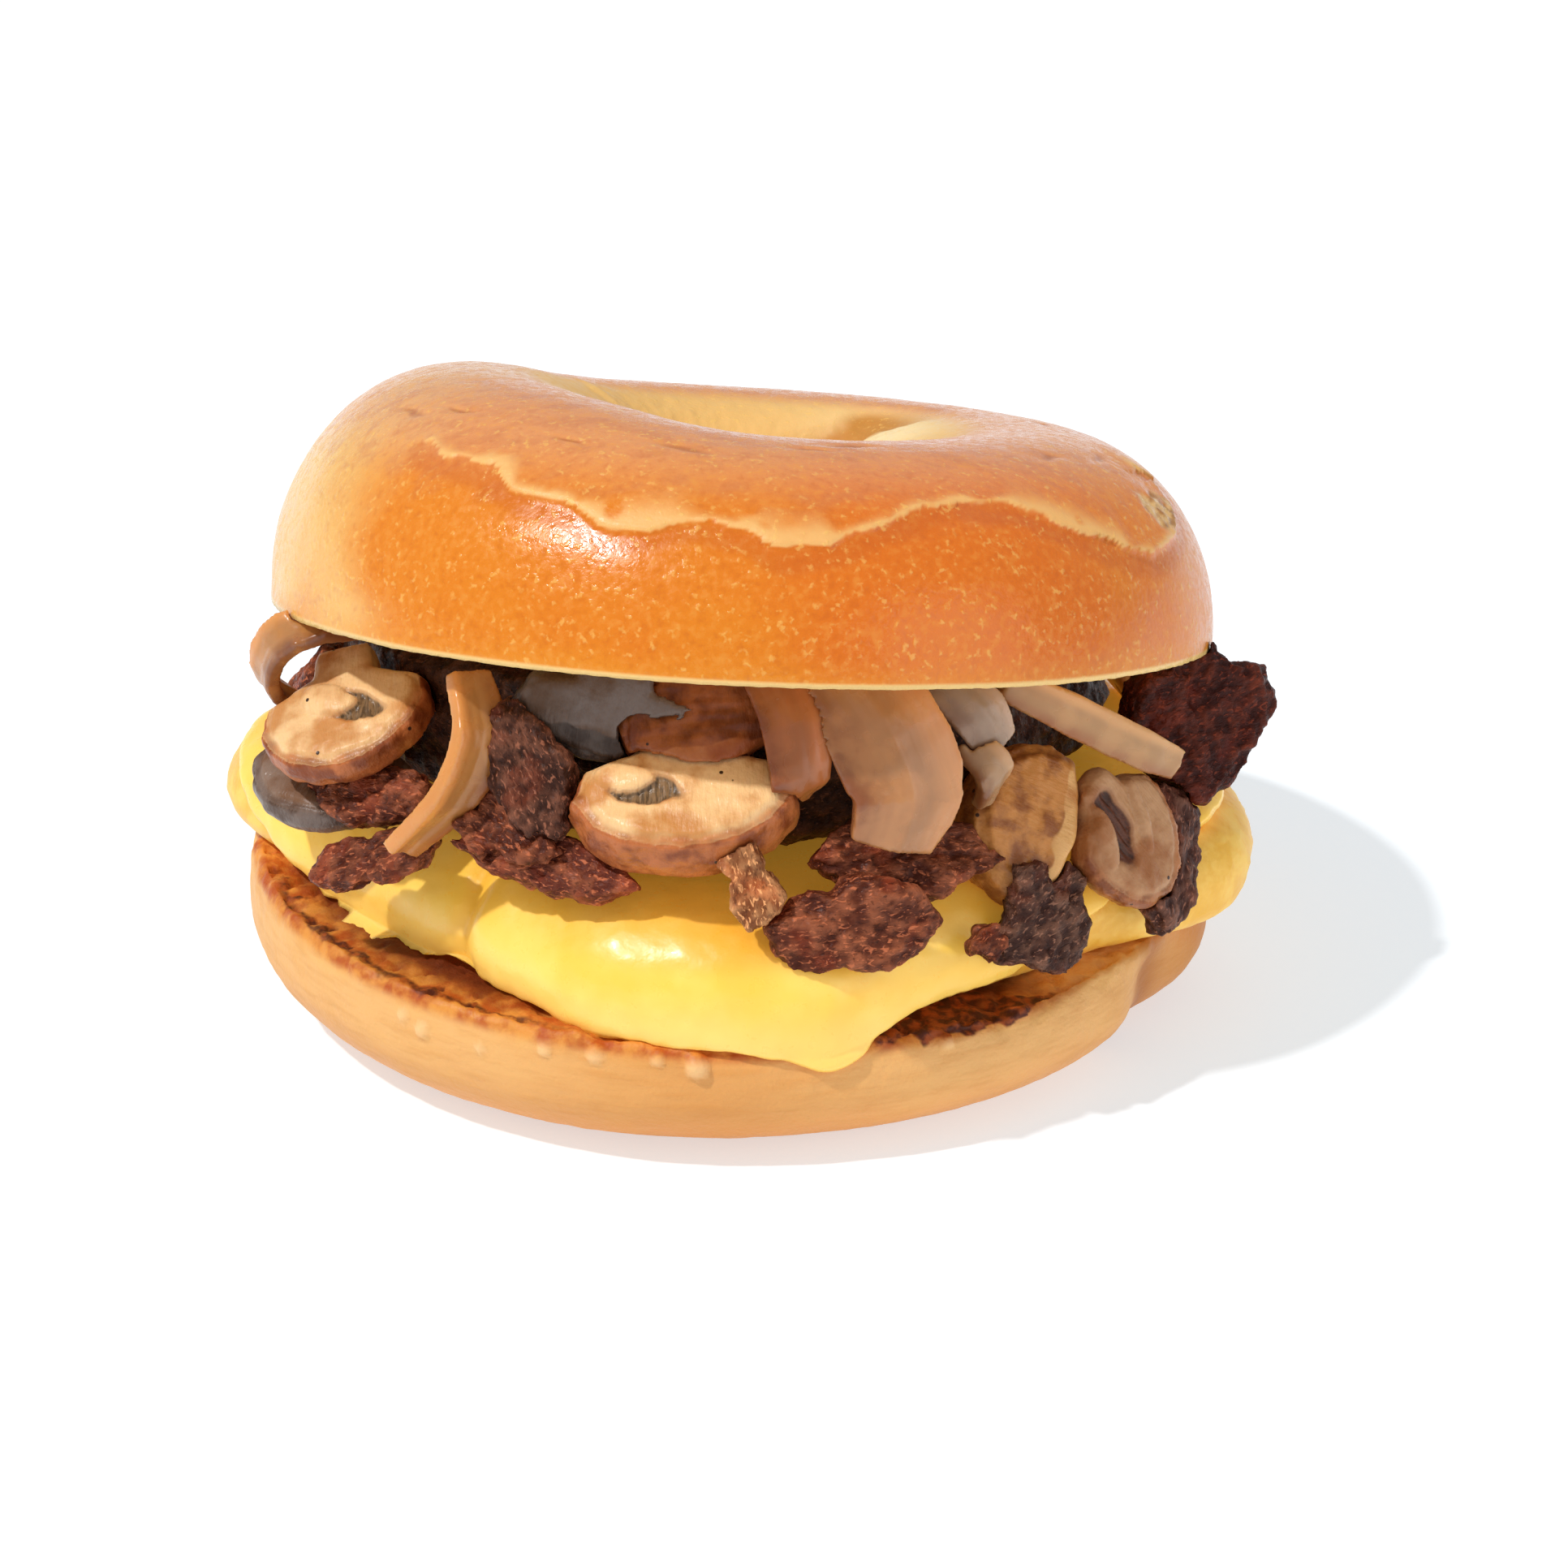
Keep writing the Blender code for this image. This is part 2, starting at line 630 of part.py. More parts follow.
def cut(piece, cutter):
    """Boolean difference; these thin curled pieces need the manifold solver."""
    boolean = piece.modifiers.new("Cut", "BOOLEAN")
    boolean.operation = "DIFFERENCE"
    boolean.object = cutter
    boolean.solver = "MANIFOLD"
    apply_modifiers(piece)
    keep_largest(piece.data)


def carve(piece, cutters):
    """Cut a piece back from the grown copies of what was placed before it."""
    for cutter in cutters:
        if boxes_meet(piece, cutter):
            cut(piece, cutter)


def weld_slivers(piece):
    """Merge the hair-thin faces that cuts leave, where that keeps the piece closed."""
    bm = bmesh.new()
    bm.from_mesh(piece.data)
    bmesh.ops.remove_doubles(bm, verts=bm.verts, dist=SLIVER * MM)
    bmesh.ops.dissolve_degenerate(bm, edges=bm.edges, dist=SLIVER * MM)
    bmesh.ops.triangulate(bm, faces=bm.faces)
    if all(edge.is_manifold for edge in bm.edges) and all(vertex.is_manifold for vertex in bm.verts):
        bm.to_mesh(piece.data)
    bm.free()


# Every mushroom slice: place, facing, spin, width, cap height, stem, thickness, bend, seed
MUSHROOMS = (
    ("mushroom_left", (-43.8, -26.6, 44.6), (-128, 58), 215, 22.0, 10.2, (7.5, 8.5), 5.0, 0.4, 1),
    ("mushroom_left_under", (-45.6, -23.5, 35.8), (-128, 62), 190, 22.0, 9.0, (7.0, 7.0), 4.8, 0.3, 2),
    ("mushroom_front", (-4.0, -47.6, 43.2), (-97, 58), 186, 27.0, 9.8, (9.0, 6.0), 8.4, 0.3, 3),
    ("mushroom_front_top", (-1.6, -45.0, 50.0), (-92, 34), 8, 21.0, 8.5, (7.0, 5.0), 4.6, 0.9, 4),
    ("mushroom_dark", (-12.0, -43.6, 52.6), (-100, 8), 172, 25.0, 7.0, (8.0, 5.0), 4.2, 0.5, 5),
    ("mushroom_right_cap", (36.2, -36.9, 34.0), (-58, 30), 56, 20.0, 9.8, (5.5, 4.0), 8.0, 0.8, 6),
    ("mushroom_right_slice", (46.0, -33.0, 32.6), (-44, 24), 205, 16.0, 11.0, (6.0, 7.0), 4.4, 0.1, 7),
    ("mushroom_back_left", (-43.0, 22.0, 37.2), (150, 30), 20, 19.0, 9.0, (6.0, 7.0), 4.6, 0.4, 8),
    ("mushroom_back_right", (49.0, 10.0, 36.0), (15, 30), 200, 18.0, 9.0, (6.0, 7.0), 4.6, 0.4, 9),
)

# Every onion strip: path, width direction, width, thickness, cup
ONIONS = (
    ("onion_curl_left", ((-42.0, -20.0, 53.0), (-48.4, -24.0, 54.0), (-52.8, -22.4, 50.8),
                         (-53.8, -20.4, 45.5), (-49.6, -17.0, 40.5)),
     (-0.45, 0.85, 0.25), 6.0, 1.6, 0.4),
    ("onion_brown", ((-28.5, -40.0, 55.0), (-27.0, -44.4, 49.0), (-30.0, -45.8, 42.0),
                     (-36.6, -44.0, 34.4)),
     (-0.8, -0.5, 0.1), 6.6, 1.7, 0.7),
    ("onion_strip_front", ((5.0, -43.0, 57.2), (8.0, -47.6, 53.0), (9.0, -50.6, 47.6),
                           (7.5, -49.4, 44.0)),
     (0.9, 0.2, 0.35), 7.0, 1.8, 0.8),
    ("onion_petal", ((13.6, -44.5, 57.0), (18.2, -48.0, 51.5), (21.0, -50.0, 45.0),
                     (19.0, -50.8, 38.6)),
     (0.85, 0.35, 0.3), 13.5, 2.1, 1.6),
    ("onion_bit_upper", ((24.0, -40.0, 54.8), (29.0, -41.6, 51.0), (31.5, -41.0, 46.6)),
     (0.75, 0.45, 0.3), 6.5, 1.6, 0.7),
    ("onion_bit_lower", ((28.0, -42.4, 47.5), (31.0, -43.6, 44.6), (30.0, -42.4, 40.0)),
     (0.5, 0.3, 0.7), 4.6, 1.5, 0.4),
    ("onion_strip_right", ((32.5, -36.5, 52.4), (40.0, -34.7, 47.8), (48.0, -30.4, 41.8),
                           (53.0, -26.0, 37.6)),
     (0.25, 0.1, 0.95), 4.6, 2.0, 0.4),
    ("onion_back", ((38.0, 22.0, 39.0), (30.0, 36.0, 36.4), (18.0, 45.0, 34.0)),
     (0.1, 0.1, 1.0), 4.6, 1.7, 0.5),
    ("onion_back_left", ((-50.0, 2.0, 47.0), (-53.5, 9.0, 42.0), (-50.5, 17.0, 37.5),
                         (-44.0, 25.0, 34.0)),
     (0.3, 0.0, 0.95), 5.0, 1.7, 0.5),
)

# Every steak shaving: place, facing, spin, width, height, thickness, bend, seed
STEAKS = (
    ("steak_front", (14.0, -56.2, 31.0), (-80, 13), -4, 20.5, 12.0, 3.6, 0.7, 1),
    ("steak_front_fold", (3.2, -56.0, 36.8), (-96, 20), 116, 13.0, 5.8, 3.2, 0.3, 2),
    ("steak_front_ledge", (20.0, -48.4, 35.4), (-70, 40), -8, 24.0, 9.6, 3.4, 0.6, 3),
    ("steak_right_low", (37.2, -43.6, 26.0), (-50, 18), 4, 13.6, 11.2, 4.0, 0.8, 4),
    ("steak_right_end", (51.6, -29.4, 26.6), (-38, 24), 66, 19.0, 12.0, 4.4, 0.6, 5),
    ("steak_right_slab", (55.4, -19.0, 39.0), (-62, 22), 24, 21.0, 18.0, 4.8, 0.2, 6),
    ("steak_left_upper", (-40.5, -33.0, 36.4), (-128, 38), 16, 20.0, 8.0, 3.8, 0.3, 7),
    ("steak_left_lower", (-40.2, -38.2, 31.0), (-134, 42), 36, 17.0, 6.8, 3.4, 0.4, 8),
    ("steak_left_front", (-19.5, -47.8, 34.4), (-112, 42), -4, 23.0, 6.2, 3.4, 0.4, 9),
    ("steak_left_inner", (-25.0, -45.0, 38.6), (-118, 30), -12, 16.0, 8.6, 4.0, 0.4, 10),
    ("steak_left_fold", (-21.0, -45.8, 44.4), (-108, 16), 106, 19.0, 9.4, 4.2, 0.5, 11),
    ("steak_crumb", (30.4, -49.8, 25.4), (-58, 20), 0, 5.0, 4.4, 3.6, 0.0, 12),
    ("steak_back_left", (-35.0, 33.0, 34.6), (135, 40), 10, 20.0, 8.6, 3.6, 0.4, 13),
    ("steak_back", (-8.0, 47.0, 32.6), (98, 60), 0, 22.0, 7.4, 2.6, 0.2, 14),
    ("steak_back_right", (46.0, 22.0, 34.4), (28, 40), -8, 20.0, 9.4, 3.8, 0.4, 15),
    ("steak_left_end", (-50.5, 2.0, 35.6), (176, 38), 6, 20.0, 9.4, 3.8, 0.4, 16),
)


def build_bagel():
    remove_old_objects()
    bagel = make_collection("bagel")
    guides = make_collection("cutters")
    heel = make_heel(bagel)
    crown = make_crown(bagel)
    egg = add_object("egg", reshaped_sphere("egg", PATTY_SEGMENTS, PATTY_RINGS, place_egg),
                     bagel, "egg")
    cheese = add_object("cheese", reshaped_sphere("cheese", PATTY_SEGMENTS, PATTY_RINGS,
                                                  place_cheese), bagel, "cheese")
    block = add_object("cheese_block", reshaped_sphere("cheese_block", PATTY_SEGMENTS, PATTY_RINGS,
                                                       place_cheese_block), guides, "cheese")
    for piece in (egg, cheese):
        shade(piece.data)
    bpy.context.view_layer.update()
    carve(cheese, [grown_copy(heel, guides, CARVE_GAP), grown_copy(egg, guides, EGG_CARVE_GAP)])
    weld_slivers(cheese)
    filling = []
    for numbers in MUSHROOMS:
        filling.append(make_mushroom(bagel, *numbers))
    for name, path, side, width, thickness, cup in ONIONS:
        filling.append(make_ribbon(bagel, name, path, side, width, thickness, cup, "onion"))
    for numbers in STEAKS:
        filling.append(make_steak(bagel, *numbers))
    heap = add_object("steak_heap", reshaped_sphere("steak_heap", PATTY_SEGMENTS, HEAP_RINGS,
                                                    place_heap), bagel, "steak")
    shade(heap.data)
    filling.append(heap)
    bpy.context.view_layer.update()
    cutters = [grown_copy(piece, guides, CARVE_GAP) for piece in (crown, block, egg, heel)]
    cutters.append(grown_copy(cheese, guides, GAP))
    for piece in filling:
        apply_modifiers(piece)
        grown = grown_copy(piece, guides, CARVE_GAP)
        bpy.context.view_layer.update()
        carve(piece, cutters)
        weld_slivers(piece)
        cutters.append(grown)
    for guide in list(guides.objects):
        bpy.data.objects.remove(guide, do_unlink=True)
    axis = bpy.data.objects.new("sandwich_axis", None)
    bagel.objects.link(axis)
    axis.location = (AXIS_SHIFT_X * MM, AXIS_SHIFT_Y * MM, 0.0)
    for piece in [crown, cheese, egg, heel] + filling:
        piece.parent = axis


build_bagel()
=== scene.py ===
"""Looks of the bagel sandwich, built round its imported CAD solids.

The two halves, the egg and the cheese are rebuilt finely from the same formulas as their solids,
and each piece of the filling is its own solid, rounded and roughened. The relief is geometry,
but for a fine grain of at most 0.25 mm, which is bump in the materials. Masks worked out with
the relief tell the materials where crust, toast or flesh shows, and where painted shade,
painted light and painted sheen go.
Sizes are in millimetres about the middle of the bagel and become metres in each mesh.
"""
import math

import bmesh
import bpy
import numpy as np
from mathutils import Matrix, Vector, noise


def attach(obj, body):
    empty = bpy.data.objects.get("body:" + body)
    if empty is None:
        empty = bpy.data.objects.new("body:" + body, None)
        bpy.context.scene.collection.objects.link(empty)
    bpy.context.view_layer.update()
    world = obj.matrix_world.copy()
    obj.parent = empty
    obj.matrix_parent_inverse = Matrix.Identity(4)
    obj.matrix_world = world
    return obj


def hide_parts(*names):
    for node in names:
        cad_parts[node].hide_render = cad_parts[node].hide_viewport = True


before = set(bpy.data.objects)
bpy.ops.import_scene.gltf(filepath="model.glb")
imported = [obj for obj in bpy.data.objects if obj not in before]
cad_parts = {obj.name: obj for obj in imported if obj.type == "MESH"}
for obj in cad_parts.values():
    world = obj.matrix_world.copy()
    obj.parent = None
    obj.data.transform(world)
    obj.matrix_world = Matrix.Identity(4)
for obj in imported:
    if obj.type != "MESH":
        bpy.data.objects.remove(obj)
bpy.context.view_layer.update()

MM = 0.001
AXIS_SHIFT = np.array((-2.0, 0.0, 0.0))

# Lower half, as its solid
HEEL_RADIUS = 58.95
HEEL_CUT_HEIGHT = 16.1
HEEL_CUT_SLOPE = -0.0283
HEEL_HOLE_RADIUS = 8.8
HEEL_LIP = 0.966 * HEEL_RADIUS
HEEL_WIDE = 0.62 * HEEL_CUT_HEIGHT
HEEL_FOOT_OUTER = 43.6
HEEL_FOOT_INNER = 24.8
HEEL_HOLE_LIP = 9.5
CREASE_AZIMUTH = -27.0
CREASE_DEPTH = 2.6
CREASE_WIDTH = 6.0

# Upper half, as its solid
CROWN_CENTRE = np.array((2.24, -2.0, 46.5))
CROWN_TILT_X = -14.3
CROWN_TILT_Y = 2.9
CROWN_RADIUS = 56.8
CROWN_CREST_RADIUS = 33.0
CROWN_HOLE_RADIUS = 9.6
CROWN_ROUNDNESS = 2.2
CROWN_HEIGHT = ((-90, 25.2), (-20, 24.6), (60, 24.2), (120, 25.0), (175, 28.8), (225, 28.0))

# Egg patty and the cheese melted over it, as their solids
EGG_OUTLINE = ((-15, 65.6), (-36, 55.5), (-60, 53.2), (-80, 56.8), (-104, 54.2), (-124, 48.6),
               (-144, 47.4), (-159, 50.5), (-188, 62.8), (-212, 54.5), (-240, 50.5), (-264, 56.5),
               (-282, 60.0), (-305, 54.0), (-335, 55.0))
EGG_FLOOR_GAP = 0.3
EGG_TOP = 27.4
EGG_WIDE_HEIGHT = 20.4
EGG_SHOULDER = 10.0
EGG_DROP = EGG_TOP - EGG_WIDE_HEIGHT
EGG_QUARTER = math.pi / 2 * math.sqrt((EGG_SHOULDER ** 2 + EGG_DROP ** 2) / 2)
EGG_UNDERCUT = 3.0
PATTY_RING_POWER = 0.4
CHEESE_THICKNESS = 2.6
CHEESE_GAP = 0.9
CHEESE_REACH = ((-15, 5.0), (-35, 10.5), (-52, 15.5), (-67, 16.6), (-78, 19.6), (-90, 17.8),
                (-105, 17.5), (-125, 16.0), (-145, 17.0), (-160, 15.5), (-180, 8.0), (-200, 3.0),
                (-230, 11.0), (-262, 15.0), (-285, 5.0), (-320, 12.0))

# Seam where the dough overlaps round the front of the upper half: azimuth, and degrees up from
# the rim over the crest
SEAM = ((-139, 50), (-133, 48), (-127, 48), (-121, 43), (-113, 40), (-106, 36), (-98, 40),
        (-92, 40), (-86, 35), (-79, 38), (-72, 45), (-64, 51), (-55, 50), (-48, 44), (-42, 37),
        (-33, 31), (-24, 33), (-15, 40), (-11, 50), (-12, 58))

# Rows and columns of the fine meshes, and in millimetres the filling's voxels and the gap
# within which points of a solid are one
CROWN_ROWS = 190
CROWN_COLUMNS = 680
CROWN_CUT_ROWS = 24
HEEL_COLUMNS = 720
HEEL_FACE_ROWS = 74
HEEL_QUARTER_ROWS = 46
HEEL_BASE_ROWS = 12
EGG_GRID = (97, 360)
CHEESE_GRID = (151, 560)
MUSHROOM_VOXEL = 0.34
ONION_VOXEL = 0.26
STEAK_VOXEL = 0.32
STEAK_HEAP_VOXEL = 0.6
WELD_GAP = 0.02

# Lights: azimuth, elevation, strength, and a sun's angle in degrees or a disk's width in metres
KEY_SUN = (-150.0, 55.5, 2.1, 2.5)
RIGHT_FILL = (-35.0, 16.0, 2.2, 0.9)
LIGHT_DISTANCE = 1.2
SURROUND_STRENGTH = 0.48
FLOOR_REACH = 3.0
FLOOR_GLOW = 0.52

# Camera of the photograph
CAMERA_DISTANCE = 0.62
CAMERA_ELEVATION = 24.2
CAMERA_AIM = (0.0053, 0.0, 0.0231)
CAMERA_LENS = 115.3


def bell(x, width):
    return np.exp(-(x / width) ** 2)


def ease(value, low, high):
    t = np.clip((value - low) / (high - low), 0.0, 1.0)
    return t * t * (3 - 2 * t)


def angle_between(a, b):
    """Signed difference of two azimuths, in degrees from -180 to 180."""
    return (a - b + 180.0) % 360.0 - 180.0


def beside(azimuth, at, width):
    """Mask that fades either side of an azimuth."""
    return bell(angle_between(azimuth, at), width)


def ring_value(controls, azimuth):
    """Smooth value at each azimuth, through (degrees, value) pairs that go once round."""
    stops, values = np.array(sorted((a % 360.0, v) for a, v in controls)).T
    stops = np.concatenate((stops[-2:] - 360.0, stops, stops[:2] + 360.0))
    values = np.concatenate((values[-2:], values, values[:2]))
    azimuth = np.asarray(azimuth, float) % 360.0
    i = np.searchsorted(stops, azimuth, side="right") - 1
    span = stops[i + 1] - stops[i]
    slope_1 = (values[i + 1] - values[i - 1]) / (stops[i + 1] - stops[i - 1]) * span
    slope_2 = (values[i + 2] - values[i]) / (stops[i + 2] - stops[i]) * span
    t = (azimuth - stops[i]) / span
    return ((2 * t ** 3 - 3 * t ** 2 + 1) * values[i] + (t ** 3 - 2 * t ** 2 + t) * slope_1
            + (3 * t ** 2 - 2 * t ** 3) * values[i + 1] + (t ** 3 - t ** 2) * slope_2)


def polar(azimuth, radius, height):
    angle = np.radians(azimuth)
    return np.stack((radius * np.cos(angle), radius * np.sin(angle), height + 0.0 * angle), -1)


def toward(azimuth, elevation):
    """Unit vector that points out at an azimuth and an elevation."""
    tilt = math.radians(elevation)
    return polar(np.array(azimuth), math.cos(tilt), math.sin(tilt))


def azimuth_of(points):
    return np.degrees(np.arctan2(points[..., 1], points[..., 0]))


def radius_of(points):
    return np.hypot(points[..., 0], points[..., 1])


def rough(points, size, seed=0.0):
    """Smooth noise from -1 to 1 with bumps of about a size, in millimetres."""
    flat = points.reshape(-1, 3) / size + (seed * 7.13, seed * 3.71, seed * 5.37)
    values = np.fromiter((noise.noise(Vector(p)) for p in flat), float, len(flat))
    return values.reshape(points.shape[:-1])


def layered(points, size, octaves, seed=0.0):
    """Noise whose bumps halve in size and height at each octave."""
    total = 0.0
    for i in range(octaves):
        total = total + rough(points, size / 2 ** i, seed + i) / 2 ** i
    return total


def reworked(mesh, work):
    """The mesh, after some work on its faces or vertices."""
    bm = bmesh.new()
    bm.from_mesh(mesh)
    work(bm)
    bm.to_mesh(mesh)
    bm.free()
    return mesh


def grid_mesh(name, points, pole_first=None, pole_last=None):
    """Mesh over rows of points that close round their last axis. Rows close on themselves,
    unless two poles are given to close the ends."""
    rows, columns = points.shape[:2]
    index = np.arange(rows * columns).reshape(rows, columns)
    right = np.roll(index, -1, axis=1)
    if pole_first is None:
        below, below_right = np.roll(index, -1, axis=0), np.roll(right, -1, axis=0)
        faces = np.stack((index, right, below_right, below), -1).reshape(-1, 4).tolist()
        vertices = points.reshape(-1, 3)
    else:
        quads = np.stack((index[:-1], right[:-1], right[1:], index[1:]), -1)
        first, last = rows * columns, rows * columns + 1
        faces = quads.reshape(-1, 4).tolist()
        faces += [(first, int(b), int(a)) for a, b in zip(index[0], right[0])]
        faces += [(last, int(a), int(b)) for a, b in zip(index[-1], right[-1])]
        vertices = np.concatenate((points.reshape(-1, 3), [pole_first, pole_last]))
    mesh = bpy.data.meshes.new(name)
    mesh.from_pydata(vertices.tolist(), [], faces)
    return reworked(mesh, lambda bm: bmesh.ops.recalc_face_normals(bm, faces=bm.faces))


def read_vectors(collection, field):
    values = np.empty(len(collection) * 3, np.float32)
    collection.foreach_get(field, values)
    return values.reshape(-1, 3).astype(float)


def read_points(mesh):
    return read_vectors(mesh.vertices, "co")


def write_points(mesh, points):
    mesh.vertices.foreach_set("co", points.astype(np.float32).ravel())
    mesh.update()


def read_normals(mesh):
    return read_vectors(mesh.vertex_normals, "vector")


def push_out(mesh, relief):
    """Move each vertex along its normal, outwards by its relief."""
    write_points(mesh, read_points(mesh) + read_normals(mesh) * relief[:, None])


def new_object(name, data):
    thing = bpy.data.objects.new(name, data)
    bpy.context.scene.collection.objects.link(thing)
    return thing


def store(mesh, **masks):
    """Keep a value or a place for each vertex, under the name that the materials read."""
    for name, values in masks.items():
        kind = "FLOAT" if values.ndim == 1 else "FLOAT_VECTOR"
        attribute = mesh.attributes.new(name, kind, "POINT")
        field = "value" if values.ndim == 1 else "vector"
        attribute.data.foreach_set(field, values.astype(np.float32).ravel())


def place_centred(points):
    return (points + AXIS_SHIFT) * MM


def add_piece(name, mesh, node, material, to_frame=place_centred):
    """Put a mesh made in millimetres into the frame, in place of its CAD node."""
    write_points(mesh, to_frame(read_points(mesh)))
    mesh.shade_smooth()
    mesh.materials.clear()
    mesh.materials.append(material)
    piece = new_object(name, mesh)
    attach(piece, "root")
    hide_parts(node)


def srgb(red, green, blue):
    """Linear colour of a screen colour given from 0 to 255."""
    def channel(value):
        value /= 255.0
        return value / 12.92 if value <= 0.04045 else ((value + 0.055) / 1.055) ** 2.4
    return channel(red), channel(green), channel(blue), 1.0


class Recipe:
    """Node material in the making; its coordinates are millimetres in the frame."""

    def __init__(self, name):
        self.material = bpy.data.materials.new(name)
        self.material.use_nodes = True
        self.tree = self.material.node_tree
        self.shader = self.tree.nodes["Principled BSDF"]
        coordinates = self.node("ShaderNodeTexCoord")
        scale = self.node("ShaderNodeVectorMath", operation="SCALE")
        scale.inputs["Scale"].default_value = 1.0 / MM
        self.join(coordinates.outputs["Object"], scale.inputs[0])
        self.place = scale.outputs[0]
        self.colour = None

    def node(self, kind, **settings):
        node = self.tree.nodes.new(kind)
        for key, value in settings.items():
            setattr(node, key, value)
        return node

    def join(self, source, socket):
        if isinstance(source, bpy.types.NodeSocket):
            self.tree.links.new(source, socket)
        else:
            socket.default_value = source

    def mask(self, name):
        return self.node("ShaderNodeAttribute", attribute_name=name).outputs["Fac"]

    def part(self, name, most):
        """A mask, scaled to reach a share at most."""
        return self.math("MULTIPLY", self.mask(name), most)

    def vector(self, name):
        return self.node("ShaderNodeAttribute", attribute_name=name).outputs["Vector"]

    def stretched(self, source, stretch):
        scale = self.node("ShaderNodeVectorMath", operation="MULTIPLY")
        self.join(source, scale.inputs[0])
        scale.inputs[1].default_value = stretch
        return scale.outputs[0]

    def noise(self, size, detail=3.0, source=None, distortion=0.0):
        node = self.node("ShaderNodeTexNoise")
        self.join(source or self.place, node.inputs["Vector"])
        node.inputs["Scale"].default_value = 1.0 / size
        node.inputs["Detail"].default_value = detail
        node.inputs["Distortion"].default_value = distortion
        return node.outputs["Fac"]

    def cells(self, size):
        node = self.node("ShaderNodeTexVoronoi")
        self.join(self.place, node.inputs["Vector"])
        node.inputs["Scale"].default_value = 1.0 / size
        return node.outputs["Distance"]

    def level(self, value, low, high, out_low=0.0, out_high=1.0):
        node = self.node("ShaderNodeMapRange", interpolation_type="SMOOTHSTEP")
        self.join(value, node.inputs["Value"])
        for key, number in (("From Min", low), ("From Max", high), ("To Min", out_low),
                            ("To Max", out_high)):
            node.inputs[key].default_value = number
        return node.outputs["Result"]

    def math(self, operation, a, b):
        node = self.node("ShaderNodeMath", operation=operation)
        self.join(a, node.inputs[0])
        self.join(b, node.inputs[1])
        return node.outputs[0]

    def swing(self, value, span):
        """A noise, moved to swing evenly about nought."""
        return self.math("MULTIPLY", self.math("SUBTRACT", value, 0.5), span)

    def mix(self, share, a, b):
        node = self.node("ShaderNodeMix", data_type="RGBA")
        self.join(share, node.inputs[0])
        self.join(a, node.inputs[6])
        self.join(b, node.inputs[7])
        return node.outputs[2]

    def ramp(self, name, *levels):
        return self.level(self.mask(name), *levels)

    def lay(self, share, *tone):
        """Paint over the colour so far, with a screen colour or another colour's socket."""
        over = srgb(*tone) if len(tone) == 3 else tone[0]
        self.colour = self.mix(share, self.colour, over)

    def bump(self, height, distance, below=None):
        node = self.node("ShaderNodeBump")
        node.inputs["Distance"].default_value = distance * MM
        self.join(height, node.inputs["Height"])
        if below is not None:
            self.join(below, node.inputs["Normal"])
        return node.outputs["Normal"]

    def done(self, **values):
        """Set or link the shader's sockets, named with underscores, and give the material."""
        for key, value in dict(values, Base_Color=self.colour).items():
            self.join(value, self.shader.inputs[key.replace("_", " ")])
        return self.material


# Upper half


def crown_matrix():
    tilt_x = Matrix.Rotation(math.radians(CROWN_TILT_X), 3, "X")
    tilt_y = Matrix.Rotation(math.radians(CROWN_TILT_Y), 3, "Y")
    return np.array(tilt_y @ tilt_x)


def pucker(azimuth, inward):
    """How far the dimple's wall stands back, from 0 at the crest to 1 deep inside."""
    fold = 78.0 - 42.0 * (1.0 - inward)
    crease = 5.5 * beside(azimuth, fold, 18.0)
    far_wall = 3.0 * beside(azimuth, 115.0, 34.0)
    right_bulge = -3.0 * beside(azimuth, 20.0, 36.0)
    left_ridge = -1.6 * beside(azimuth, 152.0, 14.0)
    return inward * (crease + far_wall + right_bulge + left_ridge)


def crown_surface(azimuth, angle):
    """Points of the upper half's outside, in its own frame, angle degrees up from the rim."""
    cosine, sine = np.cos(np.radians(angle)), np.sin(np.radians(angle))
    reach = np.where(cosine < 0, CROWN_CREST_RADIUS - CROWN_HOLE_RADIUS,
                     CROWN_RADIUS - CROWN_CREST_RADIUS)
    power = 2 / CROWN_ROUNDNESS
    radius = CROWN_CREST_RADIUS + reach * np.sign(cosine) * np.abs(cosine) ** power
    height = np.abs(sine) ** power * ring_value(CROWN_HEIGHT, azimuth)
    inward = np.clip((CROWN_CREST_RADIUS - radius) / (CROWN_CREST_RADIUS - CROWN_HOLE_RADIUS), 0, 1)
    radius = radius + pucker(azimuth, inward)
    swell = 0.5 * rough(polar(azimuth, radius, height), 20.0)
    side = np.maximum(0.0, (radius - CROWN_CREST_RADIUS) / (CROWN_RADIUS - CROWN_CREST_RADIUS))
    plump = 0.4 * beside(azimuth, 175.0, 50.0) * bell(height - 9.0, 9.0)
    return polar(azimuth, radius + side * (swell + plump), height)


def seam_path(steps=16):
    """Points along the seam, close together, on the upper half's outside."""
    controls = crown_surface(*np.array(SEAM, float).T)
    padded = np.concatenate((2 * controls[:1] - controls[1:2], controls,
                             2 * controls[-1:] - controls[-2:-1]))
    path = []
    for i in range(1, len(padded) - 2):
        p0, p1, p2, p3 = padded[i - 1:i + 3]
        for t in np.arange(steps) / steps:
            path.append(0.5 * (2 * p1 + (p2 - p0) * t + (2 * p0 - 5 * p1 + 4 * p2 - p3) * t ** 2
                               + (3 * p1 - p0 - 3 * p2 + p3) * t ** 3))
    return np.array(path)


def nearest_on(path, points):
    """Distance of each point from a path, and how far it lies above the nearest part."""
    distance = np.full(len(points), 1e3)
    above = np.zeros(len(points))
    for chunk in np.array_split(np.arange(len(points)), max(1, len(points) // 4000)):
        offset = points[chunk, None, :] - path[None, :, :]
        gaps = np.linalg.norm(offset, axis=2)
        nearest = gaps.argmin(axis=1)
        distance[chunk] = gaps[np.arange(len(chunk)), nearest]
        above[chunk] = offset[np.arange(len(chunk)), nearest, 2]
    return distance, above


